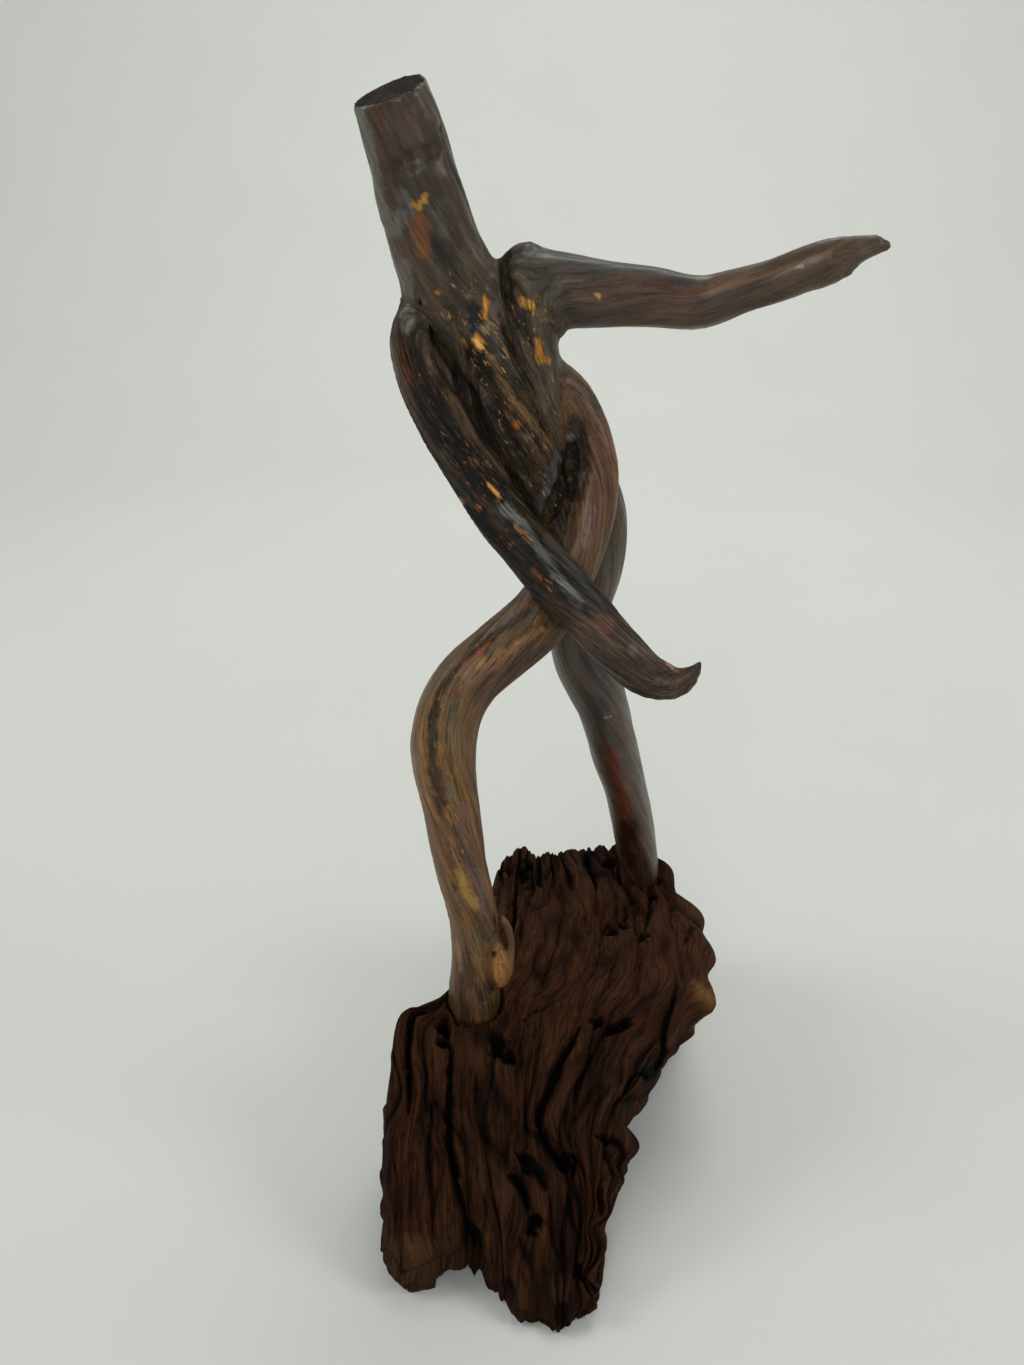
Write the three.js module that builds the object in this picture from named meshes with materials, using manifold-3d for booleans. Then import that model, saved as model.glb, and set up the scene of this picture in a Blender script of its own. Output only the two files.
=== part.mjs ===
// Dry root on a wood base. A polished, twisted root stands like a striding figure:
// a sawn neck, a chest of fused strands, one arm held out and one swung across the
// front, and two legs whose feet stand in holes in a block of weathered wood.
// Millimetres, +Z up, front towards -Y, origin under the middle of the whole piece.
import * as THREE from "three";
import Module from "manifold-3d";

const wasm = await Module();
wasm.setup();

// Driving dimensions
const SECTION_SIDES = 14; // points round a strand
const SECTION_STEP = 8.5; // distance between the sections of a strand
const FOOT_CLEARANCE = 0.3; // air between a foot and its hole
const BASE_STATIONS = 40; // steps along the grain of the base
const COLUMNS_PER_RIDGE = 3; // columns across each ridge of the base
const BUNDLE_RISE = 3; // how far a bundle of ridges swells above its edges
const SKIRT_ROWS = 4; // rows down the sides of the base
const CENTRING = [2.2, 3.2]; // x and y that bring the middle of the piece to the origin

// Strands of the root, each a list of stations: x, y, z, radius.
const STRANDS = {
  neck: {
    stations: [
      [-81.8, 3, 477.6, 13.5], [-78, 7, 466, 14.6], [-74.8, 10, 453, 14.8],
      [-71.5, 13, 440, 16], [-67.5, 16, 426, 17], [-61.5, 18, 412, 17.8],
      [-54, 19, 397, 17.8], [-46, 19, 379, 17.2], [-38, 18, 359, 15.2],
      [-30, 16, 339, 12], [-24, 12, 319, 7.5], [-20, 8, 304, 4],
    ],
    flutes: 3, fluteDepth: 0.05, twist: 1.2, depth: 0.95,
  },
  chestLeft: {
    stations: [
      [-64, 17, 416, 13], [-64, 18, 400, 14.5], [-61, 17, 384, 13.5],
      [-55, 15, 368, 10.5], [-48, 11, 352, 7], [-40, 6, 335, 4],
    ],
    flutes: 0, fluteDepth: 0, twist: 0, depth: 0.95,
  },
  chestRight: {
    stations: [
      [-35, 20, 422, 6.5], [-34, 17, 412, 11], [-34, 16, 400, 11.5],
      [-32.5, 16, 388, 10.6], [-29, 17, 373, 8.4], [-25, 17, 355, 6],
    ],
    flutes: 2, fluteDepth: 0.05, twist: 0, depth: 1.05,
  },
  frontArm: {
    stations: [
      [-66, 17, 410, 9], [-75.5, 15, 397, 11], [-74.5, 13, 382.5, 10.7],
      [-66, 9, 364, 10.8], [-56, 5, 346.5, 10.8], [-43, -1, 327.5, 10.8],
      [-29, -7, 311.5, 10.8], [-12.5, -11, 293.5, 10.7], [3.5, -19, 277.5, 9.8],
      [15, -24, 269, 8.7], [24.5, -28, 268, 6.5], [31, -31, 273, 3.6],
      [33.8, -32, 278, 1.2],
    ],
    flutes: 3, fluteDepth: 0.04, twist: 1.5, depth: 0.95,
  },
  outArm: {
    stations: [
      [-46, 19, 408, 9], [-36, 20, 412, 12.4], [-27, 20, 412.6, 14.2],
      [-15, 19, 412, 13.4], [-2, 19, 411, 12.3], [13, 18, 410, 11.2],
      [32, 17, 408, 9.7], [46.5, 15, 412.5, 8.7], [59, 13, 416, 8.3],
      [69.5, 11, 420.5, 7.8], [79.5, 9, 424.5, 6.6], [88, 8, 427, 4.6],
      [94, 7.5, 428.5, 2.6], [97, 7, 429, 1],
    ],
    flutes: 3, fluteDepth: 0.04, twist: 0.8, depth: 0.9,
  },
  frontLeg: {
    stations: [
      [-32, 20, 392, 5], [-28, 23, 383, 7.5], [-16, 25, 371, 9.4],
      [-9.5, 25, 354, 11.2], [-6, 22, 338, 10.6], [-9, 16, 320, 10.6],
      [-17.5, 9, 300.5, 11.6], [-30, 4, 283, 13], [-45, 1, 270, 13.2],
      [-59.5, -3, 257.5, 13.7], [-68, -6, 242, 14.2], [-70.5, -8, 221, 13.7],
      [-67.5, -10, 197, 12.5], [-64, -11, 171, 11.6], [-58, -13, 138.5, 11.2],
      [-57, -14, 115.5, 11.4], [-57.5, -14, 97, 12.4], [-58, -14, 70, 12.6],
    ],
    flutes: 3, fluteDepth: 0.05, twist: 2.2, depth: 0.95,
  },
  backLeg: {
    stations: [
      [-28, 28, 374, 8], [-15, 32, 353, 11.6], [-7, 33, 332.5, 12.6],
      [-3, 33, 315, 13.2], [-4.5, 31, 298, 13.2], [-9.5, 28, 277.5, 13],
      [-8, 31, 254.5, 12.9], [3, 41, 225.5, 12], [11.5, 53, 194, 11.8],
      [21, 67, 158, 11.2], [28, 77, 126, 11.6], [32, 85, 100, 11.4],
      [34, 89, 74, 11.2],
    ],
    flutes: 2, fluteDepth: 0.05, twist: 1.6, depth: 1,
  },
  thumb: {
    stations: [
      [66, 12.5, 415.5, 3.6], [74, 11, 416, 4], [81, 9.5, 418.5, 3.8],
      [87, 8.5, 422, 2.6], [91, 8, 425, 1.5],
    ],
    flutes: 0, fluteDepth: 0, twist: 0, depth: 1,
  },
  heelKnot: {
    stations: [
      [-50, -16, 134, 4], [-47, -19, 125, 5.4], [-45.5, -20, 117, 5.6],
      [-45.5, -20.5, 110, 4.6], [-46, -20.5, 106.5, 2],
    ],
    flutes: 0, fluteDepth: 0, twist: 0, depth: 1,
  },
  heelCurl: {
    stations: [
      [-44, -19, 112, 3.6], [-41, -18.5, 120, 2.6], [-40.2, -18, 130, 2],
      [-41.5, -17.5, 138, 1.7], [-44.5, -17, 142.5, 1.3],
    ],
    flutes: 0, fluteDepth: 0, twist: 0, depth: 1,
  },
};

// Grain lines of the base in plan, from the back rim to the toe. Each one lies on
// the groove between two ridges, and ridge is the number of ridges to its left.
const GRAIN_LINES = [
  { ridge: 0, line: [[-48, 100], [-56, 62], [-60, 26], [-68, -6], [-90, -21], [-98, -45], [-99, -68], [-97, -95]] },
  { ridge: 2, line: [[-40, 106], [-42, 62], [-48, 22], [-64, -6], [-86, -26], [-88, -52], [-90, -75], [-87, -101]] },
  { ridge: 5, line: [[-28, 108], [-30, 62], [-40, 22], [-60, -12], [-70, -34], [-68, -62], [-63, -80], [-60, -96]] },
  { ridge: 9, line: [[-13, 107], [-12, 62], [-18, 20], [-32, -16], [-36, -45], [-38, -70], [-33, -88], [-36, -113]] },
  { ridge: 12, line: [[3, 112], [8, 62], [4, 20], [-8, -16], [-20, -46], [-26, -62], [-14, -79], [-20, -121]] },
  { ridge: 15, line: [[18, 116], [26, 62], [26, 22], [10, -16], [-5, -42], [-13, -62], [-7, -80], [-9, -115]] },
  { ridge: 18, line: [[36, 107], [46, 62], [47, 22], [37, -18], [19, -42], [7, -60], [-2, -82], [-6, -108]] },
  { ridge: 20, line: [[50, 95], [64, 66], [64, 24], [58, -6], [45, -18], [29, -38], [13, -54], [14, -66], [4, -82], [-3, -102]] },
];

// Height of the crown of the base along the grain: y, z.
const CROWN = [
  [-122, 8], [-110, 14], [-98, 24], [-88, 34], [-75, 48], [-60, 62], [-45, 73],
  [-30, 81], [-15, 86], [0, 88], [40, 90], [80, 92], [118, 97],
];

// Long cracks along the grain: ridge line, first and last y, depth.
const CRACKS = [
  [2, -18, -68, 6], [4, -62, -96, 4], [5, -28, -92, 8], [7, -78, -106, 5],
  [8, -70, -104, 4], [9, -28, -46, 4], [9, -74, -98, 7], [11, -80, -112, 4],
  [12, -22, -92, 9], [14, -34, -70, 6], [16, -66, -92, 4], [18, -12, -60, 8],
  [17, 42, -10, 6], [18, 44, 4, 3], [3, 72, 24, 8], [6, 108, 70, 6],
  [8, 110, 76, 7], [10, 110, 66, 7], [12, 112, 70, 8], [14, 112, 84, 5],
  [1, 100, 60, 5], [16, 100, 66, 6],
];

// Rotted pits: x, y, radius, depth.
const PITS = [
  [-72, -31, 5, 9], [-50, -36, 7, 9], [-42, -41, 4.5, 7], [3, -26, 5, 7],
  [12, -27, 5, 7], [15, 38, 6, 7], [30, 32, 4, 6], [38, 66, 5, 7],
  [-32, -94, 5, 6], [-34, -82, 4, 6], [-15, -77, 5, 7], [-24, -76, 4, 5],
  [22, 92, 8, 8], [-14, -113, 5, 4],
];

// Swellings of the base: x, y, radius, height.
const SWELLINGS = [
  [-58, -14, 20, 4], [-62, 40, 14, 3], [-26, 40, 26, 2], [56, 78, 14, -4],
  [28, 88, 13, -4], [-88, -94, 12, -3], [-14, -114, 9, 5],
];

// Places where the side of the base leans in towards its foot: x, y, radius, how far.
const UNDERCUTS = [[60, 6, 40, 30], [36, -34, 20, 19], [12, -74, 16, 9]];

// Mouth of the arch under the front of the base: centre x, width, height, length.
const ARCH = { x: -66, width: 17, height: 11, length: 40 };

function solidFrom(vertices, triangles) {
  return new wasm.Manifold(new wasm.Mesh({
    numProp: 3,
    vertProperties: new Float32Array(vertices),
    triVerts: new Uint32Array(triangles),
  }));
}

// A solid through a row of rings. Seen from the first ring towards the last, the
// points of each ring go round clockwise.
function loftSolid(rings) {
  const sides = rings[0].length;
  const last = rings.length - 1;
  const vertices = rings.flat().flatMap((point) => point.toArray());
  const triangles = [];
  const at = (ring, k) => ring * sides + (k % sides);
  for (let ring = 0; ring < last; ring++) {
    for (let k = 0; k < sides; k++) {
      triangles.push(at(ring, k), at(ring + 1, k + 1), at(ring + 1, k));
      triangles.push(at(ring, k), at(ring, k + 1), at(ring + 1, k + 1));
    }
  }
  for (let k = 1; k < sides - 1; k++) {
    triangles.push(at(0, 0), at(0, k + 1), at(0, k));
    triangles.push(at(last, 0), at(last, k), at(last, k + 1));
  }
  return solidFrom(vertices, triangles);
}

// A solid swept along a smooth line through the stations. The section is an ellipse,
// wider across the view than deep, with shallow flutes that twist along the strand.
function strandSolid({ stations, flutes, fluteDepth, twist, depth }, grow = 0) {
  const centre = new THREE.CatmullRomCurve3(
    stations.map(([x, y, z]) => new THREE.Vector3(x, y, z)));
  const radii = new THREE.SplineCurve(
    stations.map(([, , , r], i) => new THREE.Vector2(i, r)));
  const steps = Math.max(4, Math.round(centre.getLength() / SECTION_STEP));
  const back = new THREE.Vector3(0, 1, 0);
  const rings = [];
  for (let i = 0; i <= steps; i++) {
    const t = centre.getUtoTmapping(i / steps);
    const point = centre.getPoint(t);
    const radius = radii.getPoint(t).y + grow;
    const along = centre.getTangent(t);
    const side = new THREE.Vector3().crossVectors(back, along).normalize();
    const deep = new THREE.Vector3().crossVectors(along, side);
    const ring = [];
    for (let k = 0; k < SECTION_SIDES; k++) {
      const angle = (2 * Math.PI * k) / SECTION_SIDES;
      const flute = 1 + fluteDepth * Math.cos(flutes * (angle + twist * i / steps));
      ring.push(point.clone()
        .addScaledVector(side, radius * flute * Math.cos(angle))
        .addScaledVector(deep, radius * flute * depth * Math.sin(angle)));
    }
    rings.push(ring);
  }
  return loftSolid(rings);
}

function union(solids) {
  return solids.reduce((whole, solid) => whole.add(solid));
}

// Smooth line through [x, y] pairs in order of x, used for heights along the base.
function interpolate(table, at) {
  const last = table.length - 1;
  if (at <= table[0][0]) return table[0][1];
  if (at >= table[last][0]) return table[last][1];
  const i = table.findIndex(([x]) => x > at) - 1;
  const [x0, y0] = table[i];
  const [x1, y1] = table[i + 1];
  const t = (at - x0) / (x1 - x0);
  return y0 + (y1 - y0) * t;
}

// A repeatable number from -1 to 1 for each ridge.
function scatter(n) {
  const wave = Math.sin(n * 12.9898 + 4.1) * 43758.5453;
  return 2 * (wave - Math.floor(wave)) - 1;
}

function smoothstep(from, to, at) {
  return THREE.MathUtils.smoothstep(at, from, to);
}

const LAST_RIDGE = GRAIN_LINES[GRAIN_LINES.length - 1].ridge;
const grainCurves = GRAIN_LINES.map(({ line }) =>
  new THREE.CatmullRomCurve3(line.map(([x, y]) => new THREE.Vector3(x, y, 0))));

// How far a groove wanders to the side, in ridges. The two edges stay put.
function wander(line, run) {
  if (line <= 0 || line >= LAST_RIDGE) return 0;
  return 0.26 * Math.sin(22 * run + 5 * scatter(line)) + 0.14 * Math.sin(47 * run + 5 * scatter(line + 7));
}

// Place in plan of a point on the base: ridge counts across it, run goes along it.
function planPoint(ridge, run) {
  const line = Math.min(Math.floor(ridge), LAST_RIDGE - 1);
  const across = ridge + THREE.MathUtils.lerp(wander(line, run), wander(line + 1, run), ridge - line);
  const broken = 0.018 * scatter(line) * (2 * run - 1);
  const along = THREE.MathUtils.clamp(run + broken, 0, 1);
  let i = 0;
  while (i < GRAIN_LINES.length - 2 && GRAIN_LINES[i + 1].ridge <= across) i++;
  const t = (across - GRAIN_LINES[i].ridge) / (GRAIN_LINES[i + 1].ridge - GRAIN_LINES[i].ridge);
  return grainCurves[i].getPointAt(along).lerp(grainCurves[i + 1].getPointAt(along), t);
}

// Depth of the groove on a ridge line at a place along the grain.
function grooveDepth(line, y) {
  const calm = 0.3 + 0.7 * Math.max(smoothstep(-20, -50, y), smoothstep(60, 85, y));
  let depth = 4.2 * (0.5 + 0.5 * scatter(line + 31)) ** 2 * calm;
  for (const [crackLine, from, to, full] of CRACKS) {
    if (crackLine !== line) continue;
    const window = smoothstep(from + 4, from - 6, y) * smoothstep(to - 4, to + 6, y);
    depth = Math.max(depth, full * window);
  }
  return depth;
}

// The ridges between two grain lines swell together as one rounded bundle.
function bundleSwell(ridge) {
  const next = Math.max(1, GRAIN_LINES.findIndex((grain) => grain.ridge > ridge - 1e-6));
  const [from, to] = [GRAIN_LINES[next - 1].ridge, GRAIN_LINES[next].ridge];
  return 1 - (2 * (ridge - from) / (to - from) - 1) ** 2;
}

// Height of the base above a point of the plan, without its grooves.
function crownHeight(ridge, x, y) {
  let z = interpolate(CROWN, y);
  for (const [px, py, radius, height] of SWELLINGS) {
    z += height * Math.exp(-((x - px) ** 2 + (y - py) ** 2) / (radius * radius));
  }
  const edge = Math.min(ridge, LAST_RIDGE - ridge);
  z += BUNDLE_RISE * bundleSwell(ridge) * Math.min(1, z / 40);
  return z - Math.min(7, 0.45 * z) * Math.max(0, 1 - edge / 1.6) ** 2;
}

function topPoint(ridge, run) {
  const point = planPoint(ridge, run);
  const slope = (interpolate(CROWN, point.y + 3) - interpolate(CROWN, point.y - 3)) / 6;
  const normal = new THREE.Vector3(0, -slope, 1).normalize();
  let sink = 0;
  const line = Math.round(ridge);
  if (Math.abs(ridge - line) < 0.01 && line > 0 && line < LAST_RIDGE) {
    sink = grooveDepth(line, point.y);
  }
  for (const [px, py, radius, depth] of PITS) {
    sink += depth * Math.exp(-((point.x - px) ** 2 + (point.y - py) ** 2) / (0.6 * radius * radius));
  }
  point.z = crownHeight(ridge, point.x, point.y);
  sink = Math.min(sink, 0.7 * point.z);
  return point.addScaledVector(normal, -sink);
}

function undercut(point) {
  return UNDERCUTS.reduce((sum, [x, y, radius, far]) =>
    sum + far * Math.exp(-((point.x - x) ** 2 + (point.y - y) ** 2) / (radius * radius)), 0);
}

// The block: a ridged top laid out along the grain, a skirt that falls from its edge,
// and a flat sawn underside.
function baseSolid() {
  const columns = LAST_RIDGE * COLUMNS_PER_RIDGE;
  const vertices = [];
  const triangles = [];
  for (let i = 0; i <= BASE_STATIONS; i++) {
    for (let j = 0; j <= columns; j++) {
      const point = topPoint(j / COLUMNS_PER_RIDGE, i / BASE_STATIONS);
      vertices.push(point.x, point.y, point.z);
    }
  }
  const top = (i, j) => i * (columns + 1) + j;
  for (let i = 0; i < BASE_STATIONS; i++) {
    for (let j = 0; j < columns; j++) {
      triangles.push(top(i, j), top(i + 1, j), top(i + 1, j + 1));
      triangles.push(top(i, j), top(i + 1, j + 1), top(i, j + 1));
    }
  }
  const rim = [];
  for (let i = 0; i < BASE_STATIONS; i++) rim.push(top(i, 0));
  for (let j = 0; j < columns; j++) rim.push(top(BASE_STATIONS, j));
  for (let i = BASE_STATIONS; i > 0; i--) rim.push(top(i, columns));
  for (let j = columns; j > 0; j--) rim.push(top(0, j));
  const corner = (index) => new THREE.Vector3().fromArray(vertices, 3 * index);
  let above = rim;
  for (let row = 1; row <= SKIRT_ROWS; row++) {
    const fall = row / SKIRT_ROWS;
    const below = rim.map((index, n) => {
      const wave = Math.sin(2.6 * row + 0.11 * n) + Math.sin(1.7 * row - 0.29 * n);
      const bulge = (2.5 + 0.8 * wave) * Math.sin(Math.PI * fall) - fall;
      const here = corner(index);
      const before = corner(rim[(n + rim.length - 5) % rim.length]);
      const after = corner(rim[(n + 5) % rim.length]);
      const run = after.sub(before).setZ(0).normalize();
      vertices.push(
        here.x + run.y * bulge - undercut(here) * fall ** 0.85,
        here.y - run.x * bulge,
        here.z * (1 - fall));
      return vertices.length / 3 - 1;
    });
    for (let n = 0; n < rim.length; n++) {
      const next = (n + 1) % rim.length;
      triangles.push(above[n], below[n], below[next]);
      triangles.push(above[n], below[next], above[next]);
    }
    above = below;
  }
  const outline = above.map((index) => new THREE.Vector2(vertices[3 * index], vertices[3 * index + 1]));
  for (const [a, b, c] of THREE.ShapeUtils.triangulateShape(outline, [])) {
    triangles.push(above[a], above[c], above[b]);
  }
  return solidFrom(vertices, triangles);
}

// The arch is half a tube that enters under the toe and narrows inwards.
function archSolid() {
  const front = new THREE.Vector3(ARCH.x, -122, 0);
  const rings = [[0, 1], [0.5, 0.9], [1, 0.5]].map(([inward, size]) => {
    const ring = [];
    for (let k = 0; k < SECTION_SIDES; k++) {
      const angle = (2 * Math.PI * k) / SECTION_SIDES;
      ring.push(new THREE.Vector3(
        0.5 * ARCH.width * size * Math.cos(angle), inward * ARCH.length,
        -ARCH.height * size * Math.sin(angle)).add(front));
    }
    return ring;
  });
  return loftSolid(rings);
}

// The lower end of a leg, a little thicker and longer all round, cuts its own hole.
function footHole({ stations, ...form }) {
  const [x, y, z, radius] = stations[stations.length - 1];
  const deeper = [...stations.slice(0, -1), [x, y, z - FOOT_CLEARANCE, radius]];
  return strandSolid({ stations: deeper, ...form }, FOOT_CLEARANCE);
}

function geometryOf(solid) {
  const mesh = solid.getMesh();
  const geometry = new THREE.BufferGeometry();
  geometry.setAttribute("position", new THREE.BufferAttribute(mesh.vertProperties, 3));
  geometry.setIndex(new THREE.BufferAttribute(mesh.triVerts, 1));
  geometry.computeVertexNormals();
  return geometry;
}

function addPiece(group, name, solid, finish) {
  const piece = new THREE.Mesh(geometryOf(solid), new THREE.MeshStandardMaterial(finish));
  piece.name = name;
  group.add(piece);
}

const figure = union(Object.values(STRANDS).map((strand) => strandSolid(strand)));
const base = baseSolid()
  .subtract(footHole(STRANDS.frontLeg))
  .subtract(footHole(STRANDS.backLeg))
  .subtract(archSolid());

const group = new THREE.Group();
group.position.set(...CENTRING, 0);
addPiece(group, "root_figure", figure, { color: 0x4a3022, roughness: 0.42, metalness: 0 });
addPiece(group, "base_block", base, { color: 0x3a281f, roughness: 0.9, metalness: 0 });

export default group;
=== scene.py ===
"""Dry root on a wood base: a polished root standing like a striding figure on a block of
weathered wood. Lengths are millimetres in the part's own drawing frame, and each mesh is
turned into metres and centred as it is made."""
import itertools
import math

import bpy
import numpy as np
import openvdb
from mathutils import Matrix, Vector


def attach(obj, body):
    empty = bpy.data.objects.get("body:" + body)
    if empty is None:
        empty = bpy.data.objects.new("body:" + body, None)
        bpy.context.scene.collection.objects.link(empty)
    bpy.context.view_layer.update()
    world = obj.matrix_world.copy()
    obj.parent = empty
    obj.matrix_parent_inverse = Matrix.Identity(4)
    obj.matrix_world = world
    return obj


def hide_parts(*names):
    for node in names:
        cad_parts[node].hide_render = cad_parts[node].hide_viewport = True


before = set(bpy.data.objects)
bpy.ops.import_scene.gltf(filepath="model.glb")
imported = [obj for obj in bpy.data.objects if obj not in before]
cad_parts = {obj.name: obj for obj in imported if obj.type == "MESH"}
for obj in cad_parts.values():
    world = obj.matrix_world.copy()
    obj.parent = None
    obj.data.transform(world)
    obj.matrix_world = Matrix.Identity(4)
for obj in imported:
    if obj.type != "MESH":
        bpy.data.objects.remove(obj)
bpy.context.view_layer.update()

# The root figure. One dried root, sawn off square at the neck, with every limb grown
# together: fused strands in the chest, one arm held out, one swung across the front, and
# two legs that stand in holes in the base. It is scraped, polished and left half dark.
CENTRING = np.array([2.2, 3.2, 0.0])
METRES = 0.001

# The line down the middle of each strand, with its radius at each station, the flutes
# round it and how far they turn, and how deep it is for its width.
STRANDS = {
    "neck": dict(
        stations=[
            (-85.6, -1, 489.1, 12.6), (-81.8, 3, 477.6, 13.5), (-78, 7, 466, 14.6),
            (-74.8, 10, 453, 14.8), (-71.5, 13, 440, 16), (-67.5, 16, 426, 17),
            (-61.5, 18, 412, 17.8), (-54, 19, 397, 17.8), (-46, 19, 379, 17.2),
            (-38, 18, 359, 15.2), (-30, 16, 339, 12), (-24, 12, 319, 7.5), (-20, 8, 304, 4)],
        flutes=3, flute_depth=0.05, twist=1.2, depth=0.95),
    "chest_left": dict(
        stations=[
            (-64, 17, 416, 13), (-64, 18, 400, 14.5), (-61, 17, 384, 13.5),
            (-55, 15, 368, 10.5), (-48, 11, 352, 7), (-40, 6, 335, 4)],
        depth=0.95),
    "chest_right": dict(
        stations=[
            (-35, 20, 422, 6.5), (-34, 17, 412, 11), (-34, 16, 400, 11.5),
            (-32.5, 16, 388, 10.6), (-29, 17, 373, 8.4), (-25, 17, 355, 6)],
        flutes=2, flute_depth=0.05, depth=1.05),
    "front_arm": dict(
        stations=[
            (-66, 17, 410, 9), (-75.5, 15, 397, 11), (-74.5, 13, 382.5, 10.7),
            (-66, 9, 364, 10.8), (-56, 5, 346.5, 10.8), (-43, -1, 327.5, 10.8),
            (-29, -7, 311.5, 10.8), (-12.5, -11, 293.5, 10.7), (3.5, -19, 277.5, 9.8),
            (15, -24, 269, 8.7), (24.5, -28, 268, 6.5), (31, -31, 273, 3.6),
            (33.8, -32, 278, 1.2)],
        flutes=3, flute_depth=0.04, twist=1.5, depth=0.95),
    "out_arm": dict(
        stations=[
            (-46, 19, 408, 9), (-36, 20, 412, 12.4), (-27, 20, 412.6, 14.2),
            (-15, 19, 412, 13.4), (-2, 19, 411, 12.3), (13, 18, 410, 11.2),
            (32, 17, 408, 9.7), (46.5, 15, 412.5, 8.7), (59, 13, 416, 8.3),
            (69.5, 11, 420.5, 7.8), (79.5, 9, 424.5, 6.6), (88, 8, 427, 4.6),
            (93.5, 7.5, 428.5, 3.4), (97, 7, 428.4, 2)],
        flutes=3, flute_depth=0.04, twist=0.8, depth=0.9),
    "front_leg": dict(
        stations=[
            (-32, 20, 392, 5), (-28, 23, 383, 7.5), (-16, 25, 371, 9.4),
            (-9.5, 25, 354, 11.2), (-6, 22, 338, 10.6), (-9, 16, 320, 10.6),
            (-17.5, 9, 300.5, 11.6), (-30, 4, 283, 13), (-45, 1, 270, 13.2),
            (-59.5, -3, 257.5, 13.7), (-68, -6, 242, 14.2), (-70.5, -8, 221, 13.7),
            (-67.5, -10, 197, 12.5), (-64, -11, 171, 11.6), (-58, -13, 138.5, 11.2),
            (-57, -14, 115.5, 11.4), (-57.5, -14, 97, 12.4), (-58, -14, 70, 12.6)],
        flutes=3, flute_depth=0.05, twist=2.2, depth=0.95),
    "back_leg": dict(
        stations=[
            (-28, 28, 374, 8), (-15, 32, 353, 11.6), (-7, 33, 332.5, 12.6),
            (-3, 33, 315, 13.2), (-4.5, 31, 298, 13.2), (-9.5, 28, 277.5, 13),
            (-8, 31, 254.5, 12.9), (3, 41, 225.5, 12), (11.5, 53, 194, 11.8),
            (21, 67, 158, 11.2), (28, 77, 126, 11.6), (32, 85, 100, 11.4),
            (34, 89, 74, 11.2)],
        flutes=2, flute_depth=0.05, twist=1.6),
    "thumb": dict(
        stations=[
            (66, 12, 417, 3), (74, 10.5, 419, 3.8), (79.5, 9, 420.4, 3.4),
            (83, 8.5, 421, 2)]),
    "heel_knot": dict(
        stations=[
            (-49, -17, 130, 3.4), (-46.5, -19.5, 122, 5), (-45.5, -20.5, 116, 5.4),
            (-45.5, -20.5, 110.5, 4.4), (-46, -20.5, 107.5, 2.2)]),
    "heel_curl": dict(
        stations=[
            (-43, -18.5, 113, 3), (-41, -18.5, 121, 2), (-40.6, -18, 130, 1.6),
            (-42, -17.5, 137.5, 1.5), (-44.5, -17, 142, 1.3)]),
}

# Where a strand is sawn flat: a point on the cut and the way that the cut faces.
SAW_CUTS = {
    "neck": ((-81.8, 3, 477.6), (-0.296, -0.311, 0.903)),
    "front_leg": ((-58, -14, 70), (0, 0, -1)),
    "back_leg": ((34, 89, 74), (0, 0, -1)),
}

# Low ridges on the neck, knee, chest and shoulder, then the creases and hollows between
# strands. Each is a line of places, with its radius at each place.
RIDGES = [
    [(-78, 1, 449, 2), (-71, 0, 450, 4), (-66, 2.4, 450, 3)],
    [(-78, -7, 238, 2.4), (-78.6, -8.6, 228, 4.6), (-77, -10, 217, 2.6)],
    [(-50, 8, 394, 3.6), (-42, 9, 376, 4.2), (-33, 11, 361, 3.6), (-26, 13, 348, 2.6)],
    [(-54, 6.5, 396, 2.6), (-52, 6.5, 394, 2.6)],
    [(-38, 13, 419, 4.5), (-36, 11, 411, 4.2), (-33, 9.5, 402, 2.6)],
    [(-31, 11, 398, 4.4), (-28, 12, 388, 4), (-25, 15, 376, 3)],
    [(-80, 9, 402, 4), (-78, 9, 392, 4.5), (-70, 6, 376, 4)],
    [(-73, 4, 440, 4), (-70, 5, 432, 3.6)],
    [(-86, 3, 453, 2.6), (-84.5, 5, 446, 4.4), (-83.5, 7, 438, 3.4)],
    [(-66.5, 8, 464, 2.5), (-64, 9, 453, 3.8), (-60.5, 12, 440, 4), (-56, 14, 428, 3)],
]
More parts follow.
